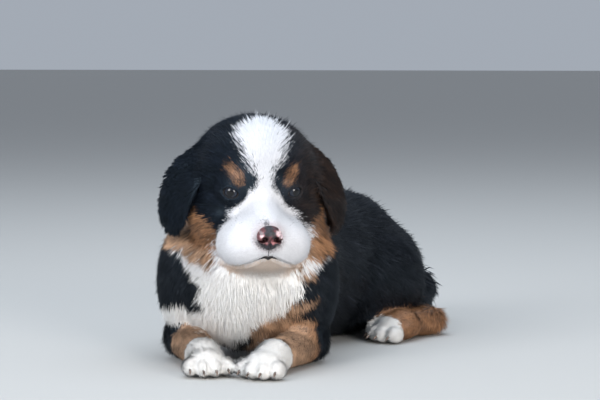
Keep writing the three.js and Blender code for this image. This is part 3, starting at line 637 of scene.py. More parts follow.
def coat_colour(points, near, edge, fringe=0.0):
    """The coat's colour at points, from each part's distance there. Edge is the softness in mm, and the
    fringe moves the edge of the white at each point."""
    head = seen_from_head(points)
    hx, hy, hz = head.T
    part = np.argmin(near, 0)
    is_head = belongs(part, "head")
    w = ramp(white_at(points, head, part) + fringe + 1.2 * wander(points, 6, 31), -edge, edge)[:, None]
    t = ramp(tan_at(points, head, part) + 1.6 * wander(points, 7, 33), -1.6 * edge, 1.6 * edge)[:, None]
    # The white turns to cream down the throat, and the cream is painted brighter, as light on the chest in
    # the head's shadow.
    pale = toward(WHITE, CREAM_PAINTED_BRIGHT, ramp(-hz, 42, 66))
    # The chin is tinted grey-tan, partly its own tan and partly painted shade under the mouth,
    # and the lower edge of the lips is tinted tan.
    mouth = np.interp(np.abs(hx), (0, 5, 13, 26, 33), (-38, -40, -45, -50, -48))
    below_mouth = is_head & (hy < -34) & (hz < mouth)
    chin = ramp(np.where(below_mouth, 30 - np.abs(hx), -FAR), -4, 6) * ramp(hz, -62, -50)
    pale = toward(pale, CHIN_TAN_AND_SHADE, 0.9 * chin)
    flew = is_head * ramp(-hz, 44, 53) * ramp(np.abs(hx), 10, 24) * ramp(-hy, 25, 40)
    pale = toward(pale, FLEW, 0.6 * flew)
    # Pink skin shows through round the nose, with a dark rim below it and a dark spot above it.
    muzzle = is_head * ramp(-hy, 62, 68)
    from_nose_pad = np.hypot(hx, (hz + 22) * 1.1)
    pink = muzzle * (1 - ramp(from_nose_pad, 9, 15)) * (0.55 + 0.25 * ramp(-hz, 22, 30))
    pale = toward(pale, PINKISH, pink)
    rim = muzzle * (1 - ramp(from_nose_pad, 9, 12)) * ramp(-hz, 23, 27)
    above_nose = muzzle * (1 - ramp(np.hypot(hx + 2.3, hz + 12.4), 1.4, 2.6))
    pale = pale * (1 - 0.85 * rim[:, None]) * (1 - 0.85 * above_nose[:, None])
    # The black is browner on the left of the head, and the tan is paler at the front of the body.
    # Off the head the black is painted lighter and greyer, as sheen.
    on_head = belongs(part, "head", "ear_left", "ear_right")[:, None]
    dark = np.where(on_head, BLUE_SHEENED_BLACK, SHEENED_BODY_BLACK) + (BROWNED - BLUE_SHEENED_BLACK) * on_head * ramp(hx, 8, 42)[:, None]
    over_eye = (is_head & (hz > 4))[:, None]
    paler = ~on_head * FRONT_GAIN * ramp(-points[:, 1], 20, 50)[:, None]
    colour = dark + ((TAN + paler) * (1 - 0.25 * over_eye) - dark) * t * (1 - 0.15 * over_eye)
    return colour + (pale - colour) * w


skin_near = distances(skin_points)
skin_colours = coat_colour(skin_points, skin_near, 1.4)

# The unwrap: each part of the body is laid flat from its six sides, each in a cell of its own.
quad_points = skin_points[skin_quads]
quad_middles = quad_points.mean(1)
quad_normals = np.cross(quad_points[:, 2] - quad_points[:, 0], quad_points[:, 3] - quad_points[:, 1])
quad_areas = np.linalg.norm(quad_normals, axis=1) / 2
quad_normals /= 2 * quad_areas[:, None] + 1e-9
quad_part = np.argmin(skin_near[:, skin_quads].mean(2), 0)
facing = np.argmax(np.abs(quad_normals), 1)
quad_chart = 6 * quad_part + 2 * facing + (np.take_along_axis(quad_normals, facing[:, None], 1)[:, 0] > 0)
CELLS = 10
CELL_EDGE = 0.05
chart_box = np.zeros((6 * len(BODY), 2, 2))
for chart in np.unique(quad_chart):
    flat = np.delete(quad_points[quad_chart == chart].reshape(-1, 3), (chart % 6) // 2, 1)
    chart_box[chart] = flat.min(0), flat.max(0)


def unwrapped(points, charts):
    """Where points lie on the unwrap, in the cell of their chart."""
    axis = (charts % 6) // 2
    first, second = np.where(axis == 0, 1, 0), np.where(axis == 2, 1, 2)
    rows = np.arange(len(points))
    flat = np.stack([points[rows, first], points[rows, second]], 1)
    low, high = chart_box[charts, 0], chart_box[charts, 1]
    share = np.clip((flat - low) / np.maximum((high - low).max(1), 1e-6)[:, None], 0, 1)
    cell = np.stack([charts % CELLS, charts // CELLS], 1)
    return (cell + CELL_EDGE + (1 - 2 * CELL_EDGE) * share) / CELLS


skin_bake = unwrapped(quad_points.reshape(-1, 3), np.repeat(quad_chart, 4))
skin = mesh_piece("skin", skin_points, skin_quads, skin_colours, skin_bake)


def node(tree, kind, inputs=None, **settings):
    """A new node with its settings, whose inputs are values or other nodes' outputs."""
    made = tree.nodes.new(kind)
    for name, setting in settings.items():
        setattr(made, name, setting)
    for name, given in (inputs or {}).items():
        if isinstance(given, bpy.types.NodeSocket):
            tree.links.new(given, made.inputs[name])
        else:
            made.inputs[name].default_value = given
    return made


def sum_of(tree, operation, *given):
    """The result of a sum on values or other nodes' outputs."""
    return node(tree, "ShaderNodeMath", dict(enumerate(given)), operation=operation).outputs[0]


def scaled(tree, colour, gain):
    return node(tree, "ShaderNodeVectorMath", {0: colour, "Scale": gain}, operation="SCALE").outputs[0]


def noise(tree, scale, detail):
    place = node(tree, "ShaderNodeTexCoord").outputs["Object"]
    given = {"Vector": place, "Scale": scale, "Detail": detail}
    return node(tree, "ShaderNodeTexNoise", given).outputs["Fac"]


def roughened(tree, height, strength, distance):
    """A surface normal made uneven by a height, whose full swing is a distance in metres."""
    given = {"Height": height, "Strength": strength, "Distance": distance}
    return node(tree, "ShaderNodeBump", given).outputs["Normal"]


def painted(tree):
    return node(tree, "ShaderNodeVertexColor", layer_name="Coat").outputs["Color"]


def material(name, **settings):
    """A Principled material with plain values on the shader's own sockets."""
    made = bpy.data.materials.new(name)
    made.use_nodes = True
    shader = made.node_tree.nodes["Principled BSDF"]
    for setting, given in settings.items():
        shader.inputs[setting.replace("_", " ")].default_value = given
    return made, made.node_tree, shader


def coat_variation():
    """A shared group: the coat's colour, varied by fine strands and by broad patches of light and dark."""
    tree = bpy.data.node_groups.new("coat variation", "ShaderNodeTree")
    for name, kind, start in (
        ("Colour", "NodeSocketColor", (1, 1, 1, 1)),
        ("Strand scale", "NodeSocketFloat", 900),
        ("Strand contrast", "NodeSocketFloat", 0.3),
        ("Patch contrast", "NodeSocketFloat", 0.2),
        ("Bump", "NodeSocketFloat", 0.3),
    ):
        tree.interface.new_socket(name, in_out="INPUT", socket_type=kind).default_value = start
    tree.interface.new_socket("Colour", in_out="OUTPUT", socket_type="NodeSocketColor")
    tree.interface.new_socket("Normal", in_out="OUTPUT", socket_type="NodeSocketVector")
    given = tree.nodes.new("NodeGroupInput").outputs
    strands = noise(tree, given["Strand scale"], 2.0)
    patches = noise(tree, 60.0, 3.0)
    gains = []
    for light, contrast in ((strands, given["Strand contrast"]), (patches, given["Patch contrast"])):
        darkest = sum_of(tree, "ADD", sum_of(tree, "MULTIPLY", contrast, -0.5), 1.0)
        gains.append(sum_of(tree, "MULTIPLY_ADD", light, contrast, darkest))
    varied = scaled(tree, given["Colour"], sum_of(tree, "MULTIPLY", *gains))
    end = tree.nodes.new("NodeGroupOutput")
    tree.links.new(varied, end.inputs["Colour"])
    tree.links.new(roughened(tree, strands, given["Bump"], 0.0004), end.inputs["Normal"])
    return tree


variation = coat_variation()


def fur_material(name, roughness, strand_scale, strand_contrast, bump):
    """Hair in the coat's colours, with its sheen tinted faint blue, as a painted reflection of the sky."""
    made, tree, shader = material(name, Roughness=roughness, Specular_IOR_Level=0.36,
                                  Specular_Tint=(0.58, 0.80, 1.0, 1))
    varied = node(tree, "ShaderNodeGroup", node_tree=variation)
    tree.links.new(painted(tree), varied.inputs["Colour"])
    varied.inputs["Strand scale"].default_value = strand_scale
    varied.inputs["Strand contrast"].default_value = strand_contrast
    varied.inputs["Bump"].default_value = bump
    tree.links.new(varied.outputs["Colour"], shader.inputs["Base Color"])
    tree.links.new(varied.outputs["Normal"], shader.inputs["Normal"])
    return made


skin.data.materials.append(fur_material("haired skin", 0.7, 1400, 0.5, 0.6))
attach(skin, "root")
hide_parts("head", "neck", "torso", "tail_base", "tail_tip",
            *[f"{part}_{side}" for side in SIDES
              for part in ("ear", "upperarm", "forearm", "forepaw", "hindleg", "hindpaw")])

# ------------------------------------------------------------------------------------------------
# Eyes and lids. The eyeballs are dark and wet, with a bulging cornea over a wide iris. Round each
# lies a ring of bare black lid skin, thick and rounded at its edge and thin under the hair.
LID_HALF = (8.5, 4.3)
LOWER_LID = 0.86
EYE_AROUND, LID_AROUND = 48, 64


def from_head(points):
    return HEAD_AT + np.asarray(points) @ HEAD.T


def round_turns(count):
    return np.linspace(0, 2 * np.pi, count + 1)[:-1]


def lathe_faces(rings, around):
    """Quads between rings of points that each close on themselves."""
    n, m = np.meshgrid(np.arange(rings - 1), np.arange(around), indexing="ij")
    a, b = n * around + m, n * around + (m + 1) % around
    return np.stack([a, b, b + around, a + around], -1).reshape(-1, 4)


def colour_ramp(tree, factor, stops):
    """A colour ramp through stops of (place, colour)."""
    made = tree.nodes.new("ShaderNodeValToRGB")
    tree.links.new(factor, made.inputs["Fac"])
    elements = made.color_ramp.elements
    for n, (at, colour) in enumerate(stops):
        element = elements[n] if n < 2 else elements.new(at)
        element.position, element.color = at, (*colour, 1)
    return made.outputs["Color"]


# The eyeball's painted value is 0 at the pupil and 1 at the white, with fine spokes between.
eye_finish, tree, shader = material("wet eye", Roughness=0.09, IOR=1.45)
spoke = sum_of(tree, "MULTIPLY_ADD", noise(tree, 1500.0, 2.0), 0.10, -0.05)
painted_value = node(tree, "ShaderNodeSeparateColor", {"Color": painted(tree)}).outputs["Red"]
tree.links.new(colour_ramp(tree, sum_of(tree, "ADD", painted_value, spoke), [
    (0.0, (0.002, 0.002, 0.003)), (0.30, (0.003, 0.003, 0.004)), (0.36, (0.010, 0.012, 0.018)),
    (0.60, (0.020, 0.026, 0.040)), (0.70, (0.006, 0.005, 0.006)), (0.80, (0.10, 0.08, 0.075)),
    (1.0, (0.30, 0.24, 0.22)),
]), shader.inputs["Base Color"])

lid_finish, tree, shader = material("lid skin", Roughness=0.5, Specular_IOR_Level=0.3)
grain = noise(tree, 1200.0, 3.0)
tree.links.new(colour_ramp(tree, grain, [(0.3, (0.003, 0.003, 0.004)), (0.7, (0.012, 0.010, 0.011))]),
               shader.inputs["Base Color"])
tree.links.new(roughened(tree, grain, 0.5, 0.0003), shader.inputs["Normal"])

# The rings of the eyeball lie at angles from the gaze, closely over the cornea, which swells a little.
angles = np.radians(np.concatenate([np.linspace(1.5, 60, 27), np.linspace(66, 178.5, 16)]))
swell = EYE_RADIUS - 0.35 + 0.55 * np.exp(-(np.degrees(angles) / 36) ** 4)
from_pupil = np.concatenate([[0], np.repeat(np.degrees(angles) / 60, EYE_AROUND), [1]]).clip(0, 1)
# The lid's section, outwards from the opening and up from the ball, swept round the opening.
LID_SECTION = ((0.35, -0.25), (-0.05, 0.05), (-0.1, 0.4), (0.15, 0.75), (0.6, 0.85), (1.1, 0.6),
               (1.6, 0.1), (2.2, -0.8), (2.0, -1.6), (1.1, -0.9))
t = round_turns(LID_AROUND)
half_up = np.where(np.sin(t) > 0, LID_HALF[1], LID_HALF[1] * LOWER_LID)
edge_u = LID_HALF[0] * np.cos(t)
edge_v = half_up * np.sign(np.sin(t)) * np.abs(np.sin(t)) ** 1.4
ahead_u, ahead_v = np.roll(edge_u, -1) - np.roll(edge_u, 1), np.roll(edge_v, -1) - np.roll(edge_v, 1)
size = np.hypot(ahead_u, ahead_v)
out_u, out_v = ahead_v / size, -ahead_u / size

for side, s in SIDES.items():
    along, gaze, upwards = eye_axes(s)
    centre = mirrored(EYE_AT, s)
    ball = [centre + r * (math.cos(a) * gaze + math.sin(a) * (np.cos(q) * along + np.sin(q) * upwards))
            for a, r in zip(angles, swell) for q in round_turns(EYE_AROUND)]
    # The first and last ring are so small that one point each closes them.
    ball = [centre + swell[0] * gaze, *ball, centre - swell[-1] * gaze]
    faces = [tuple(quad[::-1]) for quad in (lathe_faces(len(angles), EYE_AROUND) + 1).tolist()]
    faces += [(0, 1 + m, 1 + (m + 1) % EYE_AROUND) for m in range(EYE_AROUND)]
    last = 1 + (len(angles) - 1) * EYE_AROUND
    faces += [(len(ball) - 1, last + (m + 1) % EYE_AROUND, last + m) for m in range(EYE_AROUND)]
    eyeball = mesh_piece("eyeball_" + side, from_head(ball), faces, np.stack([from_pupil] * 3, 1))
    eyeball.data.materials.append(eye_finish)
    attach(eyeball, "root")
    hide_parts("eye_" + side)

    rings = []
    for outwards, above in LID_SECTION:
        mix = min(1.0, max(0.0, outwards / 3))
        du, dv = out_u + (np.cos(t) - out_u) * mix, out_v + (np.sin(t) - out_v) * mix
        u, v = edge_u + du * outwards, edge_v + dv * outwards
        heavy = 1 + 0.35 * np.clip(np.sin(t), 0, 1) * (above > 0)
        ray = gaze * EYE_RADIUS + u[:, None] * along + v[:, None] * upwards
        ray /= np.linalg.norm(ray, axis=1, keepdims=True)
        rings.append(centre + ray * (EYE_RADIUS + (above * heavy)[:, None]))
    lid_points = np.concatenate(rings)
    lid_faces = lathe_faces(len(rings) + 1, LID_AROUND) % len(lid_points)
    lid = mesh_piece("lids_" + side, from_head(lid_points), lid_faces[:, ::-1])
    lid.data.materials.append(lid_finish)
    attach(lid, "root")

# ------------------------------------------------------------------------------------------------
# Nose and lips. The nose is a pad of bare, pebbled leather, still half pink as in a young pup, with
# two comma-shaped nostrils. Black lip skin shows where the upper lips meet over the chin.
NOSE_AT = np.array([0, -76, -22])


def nostril(x, y, z, s):
    """The distances to a round hole and to the slit that curls outwards from it."""
    hole = egg((4.4 * s, -83.0, -22.2), (1.9, 4.6, 1.8), 18 * s)
    slit = egg((7.0 * s, -81.0, -24.0), (2.8, 4.2, 0.8), 24 * s)
    return hole[0](x, y, z), slit[0](x, y, z)


def nose_distance(points):
    """The pad of leather, with its nostrils and the groove down its middle."""
    x, y, z = points
    pad = egg(NOSE_AT, (9.2, 6.5, 7.4))[0](x, y, z)
    pad = melt(5, pad, egg((0, -77, -19.5), (7.6, 6, 5.5))[0](x, y, z))
    pad = melt(4, pad, egg((0, -77, -27), (4.5, 5, 4.5))[0](x, y, z))
    for s in BOTH:
        pad = melt(2, pad, egg((6.2 * s, -78.5, -22.6), (3.2, 4.6, 4.2), 20 * s)[0](x, y, z))
        pad = -melt(1.6, -pad, melt(1.2, *nostril(x, y, z, s)))
    groove = np.hypot(x, np.maximum(y + 78, 0))
    return pad + 0.9 * np.exp(-(groove / 0.7) ** 2) * ramp(-z, 19, 25)


lines = [stations((a, b, 0.5)) for a, b in ((-12, 12), (-86, -68), (-34, -12))]
pad_points, pad_quads = net(*lines, nose_distance(np.meshgrid(*lines, indexing="ij")).astype(np.float32))
pad_points = settled(pad_points, lambda q: nose_distance(q.T), 0.2, 0.1)


def blot(x, z, at, radius, seed):
    """A mottled round patch on the nose, from 1 in the middle to 0 outside."""
    rough = 1.1 * wander(np.stack([x, x * 0, z], 1), 2.2, seed)
    return ramp(radius - np.hypot(x - at[0], z - at[1]) + rough, -0.8, 0.8)


PALE, PINK = np.array([0.66, 0.50, 0.52]), np.array([0.42, 0.17, 0.18])
WINE, SLATE = np.array([0.085, 0.024, 0.028]), np.array([0.020, 0.020, 0.028])
x, y, z = pad_points.T
pad_colours = np.ones((len(pad_points), 1)) * (WINE * 1.4)
for colour, at, radius, seed in (
    (PINK, (-6.6, -18.6), 1.5, 39), (PINK, (6.4, -18.4), 2.3, 41),
    (PALE, (-7.6, -18.4), 1.1, 23), (PALE, (6.9, -17.4), 1.9, 25), (PALE, (8.6, -19.8), 1.2, 27),
    (PINK, (2.2, -24.8), 1.7, 29), (PINK, (-2.6, -25.6), 1.2, 35),
    (SLATE, (-1.4, -16.6), 3.8, 3), (SLATE, (0, -31.5), 5.6, 5),
    (SLATE, (-6.0, -29), 4.0, 7), (SLATE, (6.0, -29), 4.0, 9),
    (SLATE, (-9.4, -25), 1.8, 13), (SLATE, (9.4, -24), 1.8, 15), (SLATE, (3.4, -20.4), 1.3, 17),
    (SLATE, (-3.8, -20.8), 1.2, 19), (SLATE, (0, -27.6), 1.4, 21),
):
    pad_colours = toward(pad_colours, colour, blot(x, z, at, radius, seed))
pad_colours *= (0.35 + 0.65 * ramp(wander(pad_points, 1.7, 53), -0.45, 0.15))[:, None]
# Inside the nostrils the wine of the leather is painted far darker, as shade deep in the holes.
for s in BOTH:
    pad_colours = toward(pad_colours, WINE * 0.35, ramp(-np.minimum(*nostril(x, y, z, s)), -1.0, 0.1))
nose = mesh_piece("nose_pad", from_head(pad_points), pad_quads, pad_colours)
nose_finish, tree, shader = material("nose leather", Roughness=0.48, Subsurface_Weight=0.15,
                                     Subsurface_Scale=0.002)
mottle = sum_of(tree, "MULTIPLY_ADD", noise(tree, 700.0, 4.0), 0.8, 0.6)
tree.links.new(scaled(tree, painted(tree), mottle), shader.inputs["Base Color"])
place = node(tree, "ShaderNodeTexCoord").outputs["Object"]
pebbles = node(tree, "ShaderNodeTexVoronoi", {"Vector": place, "Scale": 1100.0}).outputs["Distance"]
tree.links.new(roughened(tree, pebbles, 0.55, 0.0004), shader.inputs["Normal"])
nose.data.materials.append(nose_finish)
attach(nose, "root")
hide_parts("nose")

ROD_AROUND = 10


def rod_rings(path, outs, radii, wide=1.0, high=1.0):
    """Rings of points round a path, wide across it and high along its outward directions."""
    ahead = unit(np.gradient(path, axis=0))
    across = unit(np.cross(ahead, outs))
    upright = np.cross(across, ahead)
    t = round_turns(ROD_AROUND)[None, :, None]
    ring = wide * np.cos(t) * across[:, None] + high * np.sin(t) * upright[:, None]
    return (path[:, None] + radii[:, None, None] * ring).reshape(-1, 3)


def drawn_on_face(points, count, above):
    """A smooth line through points, drawn onto the face's skin, with the skin's outward directions."""
    points = np.asarray(points, float)
    spans = np.concatenate([[0], np.cumsum(np.linalg.norm(np.diff(points, axis=0), axis=1))])
    at = np.linspace(0, spans[-1], count)
    line = np.stack([np.interp(at, spans, points[:, n]) for n in range(3)], 1)
    for _ in range(3):
        line[1:-1] = (line[:-2] + 2 * line[1:-1] + line[2:]) / 4
    world = from_head(line)
    field = lambda q: face(*q.T)
    for _ in range(5):
        slope = slope_of(field, world)
        world = world - slope * ((field(world) - above) / np.maximum((slope ** 2).sum(1), 0.2))[:, None]
    return seen_from_head(world), unit(slope_of(field, world)) @ HEAD


# The mouth's line is thickest in the middle, under the nose, and the split above it is even.
LIP_MIDDLE = 5.5
for name, path, count, above, swelling, rest in (
    ("lips", MOUTH[2:-2], 81, 0.15, 1.3, 0.12),
    ("lip_split", LIP_SPLIT, 24, 0.1, 0.0, 0.35),
):
    line, outs = drawn_on_face(path, count, above)
    thickness = rest + swelling * np.exp(-(line[:, 0] / LIP_MIDDLE) ** 2)
    points = np.concatenate([rod_rings(line, outs, thickness, high=0.7), line[:1], line[-1:]])
    ends = len(points) - 2
    last = ends - ROD_AROUND
    faces = [tuple(quad) for quad in lathe_faces(len(line), ROD_AROUND).tolist()]
    faces += [(ends, (m + 1) % ROD_AROUND, m) for m in range(ROD_AROUND)]
    faces += [(ends + 1, last + m, last + (m + 1) % ROD_AROUND) for m in range(ROD_AROUND)]
    lip = mesh_piece(name, from_head(points), faces)
    lip.data.materials.append(lid_finish)
    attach(lip, "root")

# ------------------------------------------------------------------------------------------------
# Claws. Short, curved, dark horn grained with paler brown, one on each of the sixteen toes. Each grows out
# of its toe under the hair and points forwards and a little down.
CLAW_RADIUS = 1.65
claw_points, claw_faces = [], []
for leg in (*FORE.values(), *HIND.values()):
    for n in TOES:
        toe = toe_at(level_frame(leg["paw"], leg["turn"]), n)
        at = level_frame(toe, leg["turn"] + TOE_SPLAY * n)
        t = np.linspace(0, 1, 9)
        path = np.stack([at(0, 5.0 + 9.2 * q - 1.2 * q * q, 7.3 + 0.6 * q - 4.2 * q * q) for q in t])
        path[:, 2] = np.maximum(path[:, 2], 0.8)
        radii = CLAW_RADIUS * (1 - t ** 1.7) ** 0.6 + 0.02
        points = rod_rings(path, np.array([[0, 0, 1.0]]), radii, wide=0.75)
        points[:, 2] = np.maximum(points[:, 2], 0.3)
        start = sum(len(p) for p in claw_points)
        root, last = start + len(points), start + len(points) - ROD_AROUND
        claw_points.append(np.concatenate([points, path[:1]]))
        claw_faces += [tuple(quad) for quad in (lathe_faces(len(path), ROD_AROUND) + start).tolist()]
        claw_faces += [(root, start + (m + 1) % ROD_AROUND, start + m) for m in range(ROD_AROUND)]
        claw_faces.append(tuple(last + m for m in range(ROD_AROUND)))
claws = mesh_piece("claws", np.concatenate(claw_points), claw_faces)
horn, tree, shader = material("claw horn", Roughness=0.3)
grain = noise(tree, 420.0, 3.0)
tree.links.new(colour_ramp(tree, grain, [(0.35, (0.045, 0.03, 0.024)), (0.7, (0.20, 0.14, 0.11))]),
               shader.inputs["Base Color"])
claws.data.materials.append(horn)
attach(claws, "root")
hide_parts(*[f"claw_{pair}_{side}_{n}" for pair in ("fore", "hind") for side in SIDES
                     for n in range(1, 5)])

# ------------------------------------------------------------------------------------------------
# The coat. Soft puppy hair, short on the muzzle and paws and longer on the chest, trunk and tail.
# Every tuft is a thin, tapered blade that grows from the skin and lies along it.
chance = np.random.default_rng(20)
# No hair lies lower than GROUND, and each tuft has a patch of its own on the unwrap, PATCH wide.
GROUND, PATCH = 0.2, 0.0028
# A spike has one ring of corners, at its root, and a bent tuft has a second one half way along.
SPIKE, BENT = (0.0,), (0.0, 0.5)
fur = fur_material("soft fur", 0.39, 1600, 0.25, 0.15)


def ahead_of(turn):
    return level_frame((0, 0), turn)(0, 1)


def lie_of_coat(points, normals, near):
    """The direction in which the hair lies: back from the nose, down the ears and legs, and to the tail."""
    head = seen_from_head(points)
    hx, hy, hz = head.T
    height = points[:, 2]
    even = np.ones((len(points), 1))
    lies = {}
    away = unit(head - (0, -74, -20))
    nape = ramp(hy, 5, 38)
    cheek = ramp(np.abs(hx), 26, 44) * ramp(-hz, -10, 25)
    # The blaze fans out over the brow, and the hair round each eye lies away from it.
    fan = 0.6 * np.sign(hx) * ramp(np.abs(hx), 2, 14) * ramp(hz, 5, 30)
    from_eye = np.stack([hx - EYE_AT[0] * np.sign(hx), 0 * hx, hz - EYE_AT[2]], 1)
    near_eye = (1 - ramp(np.linalg.norm(from_eye, axis=1), 6, 13)) * ramp(-hy, 20, 30)
    away = away + unit(from_eye) * 1.6 * near_eye[:, None]
    away = (away[:, 0] + fan, away[:, 1] * (1 - 0.6 * nape), away[:, 2] - 1.3 * nape - 0.45 * cheek)
    lies["head"] = np.stack(away, 1) @ HEAD.T
    for side, s in SIDES.items():
        _, across, half, _ = ear_place(*points.T, s)
        to_edge = 0.35 * (across / half)[:, None]
        lies["ear_" + side] = (np.array([0.25 * s, 0, -1.0]) + to_edge * np.array([0, 1.0, 0])) @ HEAD.T
        fore = unit(np.array(FORE[side]["wrist"]) - np.array(FORE[side]["elbow"]))
        low = ramp(-height, -44, -26)[:, None]
        upper = np.array([0.12 * s, 0.35, -1.0]) * even
        lies["fore_" + side] = upper + (1.6 * fore + (0, 0, -0.5) - upper) * low
        # The hair turns forwards below the thigh, and gathers downwards at the heel.
        ahead = ahead_of(PELVIS_TURN)
        low = ramp(-height, -36, -20)[:, None]
        upper = (np.array([0.1 * s, 0, -1.0]) - 0.8 * ahead) * even
        heel = 1 - ramp(np.linalg.norm(points - HOCK[side], axis=1), 14, 34)[:, None]
        lower = ahead * (1.2 - 0.6 * heel) + np.array([0, 0, -0.4]) * (1 + 2 * heel)
        lies["hind_" + side] = upper + (lower - upper) * low
        for name, leg in (("forepaw_", FORE[side]), ("hindpaw_", HIND[side])):
            lies[name + side] = (ahead_of(leg["turn"]) + (0, 0, -0.25)) * even
    # On the chest the hair hangs and parts in the middle, and along the back it lies to the tail.
    out = points[:, 0] - SHOULDER_AT[0] + 0.3 * (points[:, 1] - SHOULDER_AT[1])
    down_front = np.array([0, 0, -1.0]) + 0.55 * np.stack([out, 0 * out, 0 * out], 1) / 60
    front = ramp(np.clip(normals @ ahead_of(SHOULDER_TURN), 0, 1), 0.15, 0.7)[:, None]
    for name, back in (("torso", (0, 1.0, -0.42)), ("neck", (0, 0.8, -0.7))):
        lies[name] = back * even + (down_front - back * even) * front
    lies["tail"] = np.zeros_like(points)
    closest = np.full(len(points), 1e9)
    for (a, _), (b, _) in zip(TAIL, TAIL[1:]):
        gap = rod_distance(points, a, b)
        lies["tail"][gap < closest] = unit(np.array(b, float) - a)
        closest = np.minimum(closest, gap)
    total = np.zeros_like(points)
    nearest = near.min(0)
    for row, name in zip(near, GROUPS):
        weight = np.exp(-(row - nearest) / 5)
        total += unit(lies[name]) * weight[:, None]
    total -= normals * (total * normals).sum(1, keepdims=True)
    return unit(total)


def amid(corners, u, v):
    """A value at a place on a quad, between those at its four corners."""
    return ((1 - u) * (1 - v) * corners[:, 0] + u * (1 - v) * corners[:, 1]
            + u * v * corners[:, 2] + (1 - u) * v * corners[:, 3])


def scattered(weights, count):
    """Evenly scattered roots on the skin's quads: points, the skin's outward direction, and the chart."""
    reach = np.cumsum(weights * quad_areas)
    picks = np.searchsorted(reach, (np.arange(count) + chance.random(count)) / count * reach[-1])
    picks = np.minimum(picks, len(quad_areas) - 1)
    u, v = chance.random((2, count, 1))
    return (amid(quad_points[picks], u, v), unit(amid(skin_normals[skin_quads[picks]], u, v)),
            quad_chart[picks])


def gathered(roots, tips, pull, share_of_locks):
    """Tips of neighbours that lean together, so that the hair parts into small locks."""
    centres = roots[chance.choice(len(roots), max(1, int(len(roots) * share_of_locks)), replace=False)]
    tree = kdtree.KDTree(len(centres))
    for n, centre in enumerate(centres):
        tree.insert(centre, n)
    tree.balance()
    home = np.array([tree.find(root)[1] for root in roots])
    total, tally = np.zeros_like(centres), np.zeros(len(centres))
    np.add.at(total, home, tips)
    np.add.at(tally, home, 1)
    meeting = total / np.maximum(tally, 1)[:, None]
    return tips + (meeting[home] - tips) * pull


def tuft_mesh(name, roots, normals, lies, lengths, widths, lifts, colours, charts, clump, rings):
    """One piece of many tufts. Each is a closed blade of three sides, with rings at these shares of its
    length, that lies along the skin."""
    count = len(roots)
    sides = unit(np.cross(lies, normals))
    tips = roots + lies * lengths[:, None] * 0.97 + normals * (lifts * lengths)[:, None]
    if clump:
        tips = gathered(roots, tips, *clump)
    # White hair is soft and even, and dark hair shows every strand. Each tuft is painted darker at its
    # root, as shade deep in the coat, most on dark hair, and a little lighter at its tip, as sheen.
    paleness = ramp(colours.max(1), 0.03, 0.6)[:, None]
    soft = (0.40 + 0.42 * paleness)[:, None]
    root_shade = 0.45 + 0.45 * paleness
    colours = colours * np.exp(chance.normal(0, 1, (count, 1)) * (0.48 - 0.43 * paleness))
    dark_strands = (chance.random(count) < 0.16) & (colours.max(1) < 0.5)
    colours[dark_strands] *= 0.4
    points, shades = [], []
    for share in rings:
        # The root stands half a millimetre deep in the skin, and a middle ring arches up from it.
        rise = lengths * lifts * 0.9 * share * (1 - share) - 0.5 * (share == 0)
        middle = roots + (tips - roots) * share + normals * rise[:, None]
        wide = (widths * (1.0 - 0.45 * share ** 2) / 2)[:, None]
        points += [middle + sides * wide, middle - sides * wide, middle + normals * wide * 0.9]
        shades += [root_shade + (1.08 - root_shade) * share] * 3
    points.append(tips)
    shades.append(np.full((count, 1), 1.12))
    points = np.stack(points, 1)
    points[:, :, 2] = np.maximum(points[:, :, 2], GROUND)
    size = points.shape[1]
    faces = [(0, 2, 1)]
    for ring in range(len(rings) - 1):
        for m in range(3):
            a, b = 3 * ring + m, 3 * ring + (m + 1) % 3
            faces += [(a, b, b + 3), (a, b + 3, a + 3)]
    end = 3 * (len(rings) - 1)
    faces = np.array(faces + [(end + m, end + (m + 1) % 3, size - 1) for m in range(3)])
    all_faces = (faces[None] + np.arange(count)[:, None, None] * size).reshape(-1, 3)
    colour = np.clip(colours[:, None] * np.stack(shades, 1), 0, 0.95)
    # A tuft's patch lies where its root stands on the unwrap.
    patch_u = np.array([0.0, 1.0, 0.5] * len(rings) + [0.5]) - 0.5
    patch_v = np.array([share for share in rings for _ in range(3)] + [1.0]) - 0.5
    patch_v[2:3 * len(rings):3] += 0.1
    bake = unwrapped(roots, charts)[:, None] + PATCH * np.stack([patch_u, patch_v], 1)[None]
    outward = np.stack([sides, -sides, normals] * len(rings) + [(lies + normals) / 2], 1)
    shading = unit(normals[:, None] * soft + outward * (1 - soft) + lies[:, None] * 0.15)
    piece = mesh_piece(name, points.reshape(-1, 3), all_faces, colour.reshape(-1, 3),
                       bake.reshape(-1, 2)[all_faces.ravel()], shading.reshape(-1, 3))
    piece.data.materials.append(fur)
    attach(piece, "root")


def bare(points):
    """True where no hair grows: on the eyes and their rims, the nose leather and the edge of the lips."""
    head = seen_from_head(points)
    off = np.linalg.norm((head - NOSE_AT) / (7.9, 9, 6.3), axis=1) < 1 + 0.2 * wander(head, 2, 45)
    for s in BOTH:
        along, gaze, upwards = eye_axes(s)
        away = head - mirrored(EYE_AT, s)
        off |= (away @ gaze > 0) & (np.hypot(away @ along / 7.1, away @ upwards / 4.7) < 1)
        off |= rod_distance(head, (6 * s, -74.5, -40.5), (0, -76, -38)) < 1.3
    return off


def varying(size, roots, least, most):
    """A size that is a plain value or a function of the root, made to vary by a random share."""
    return (size(roots) if callable(size) else size) * chance.uniform(least, most, len(roots))


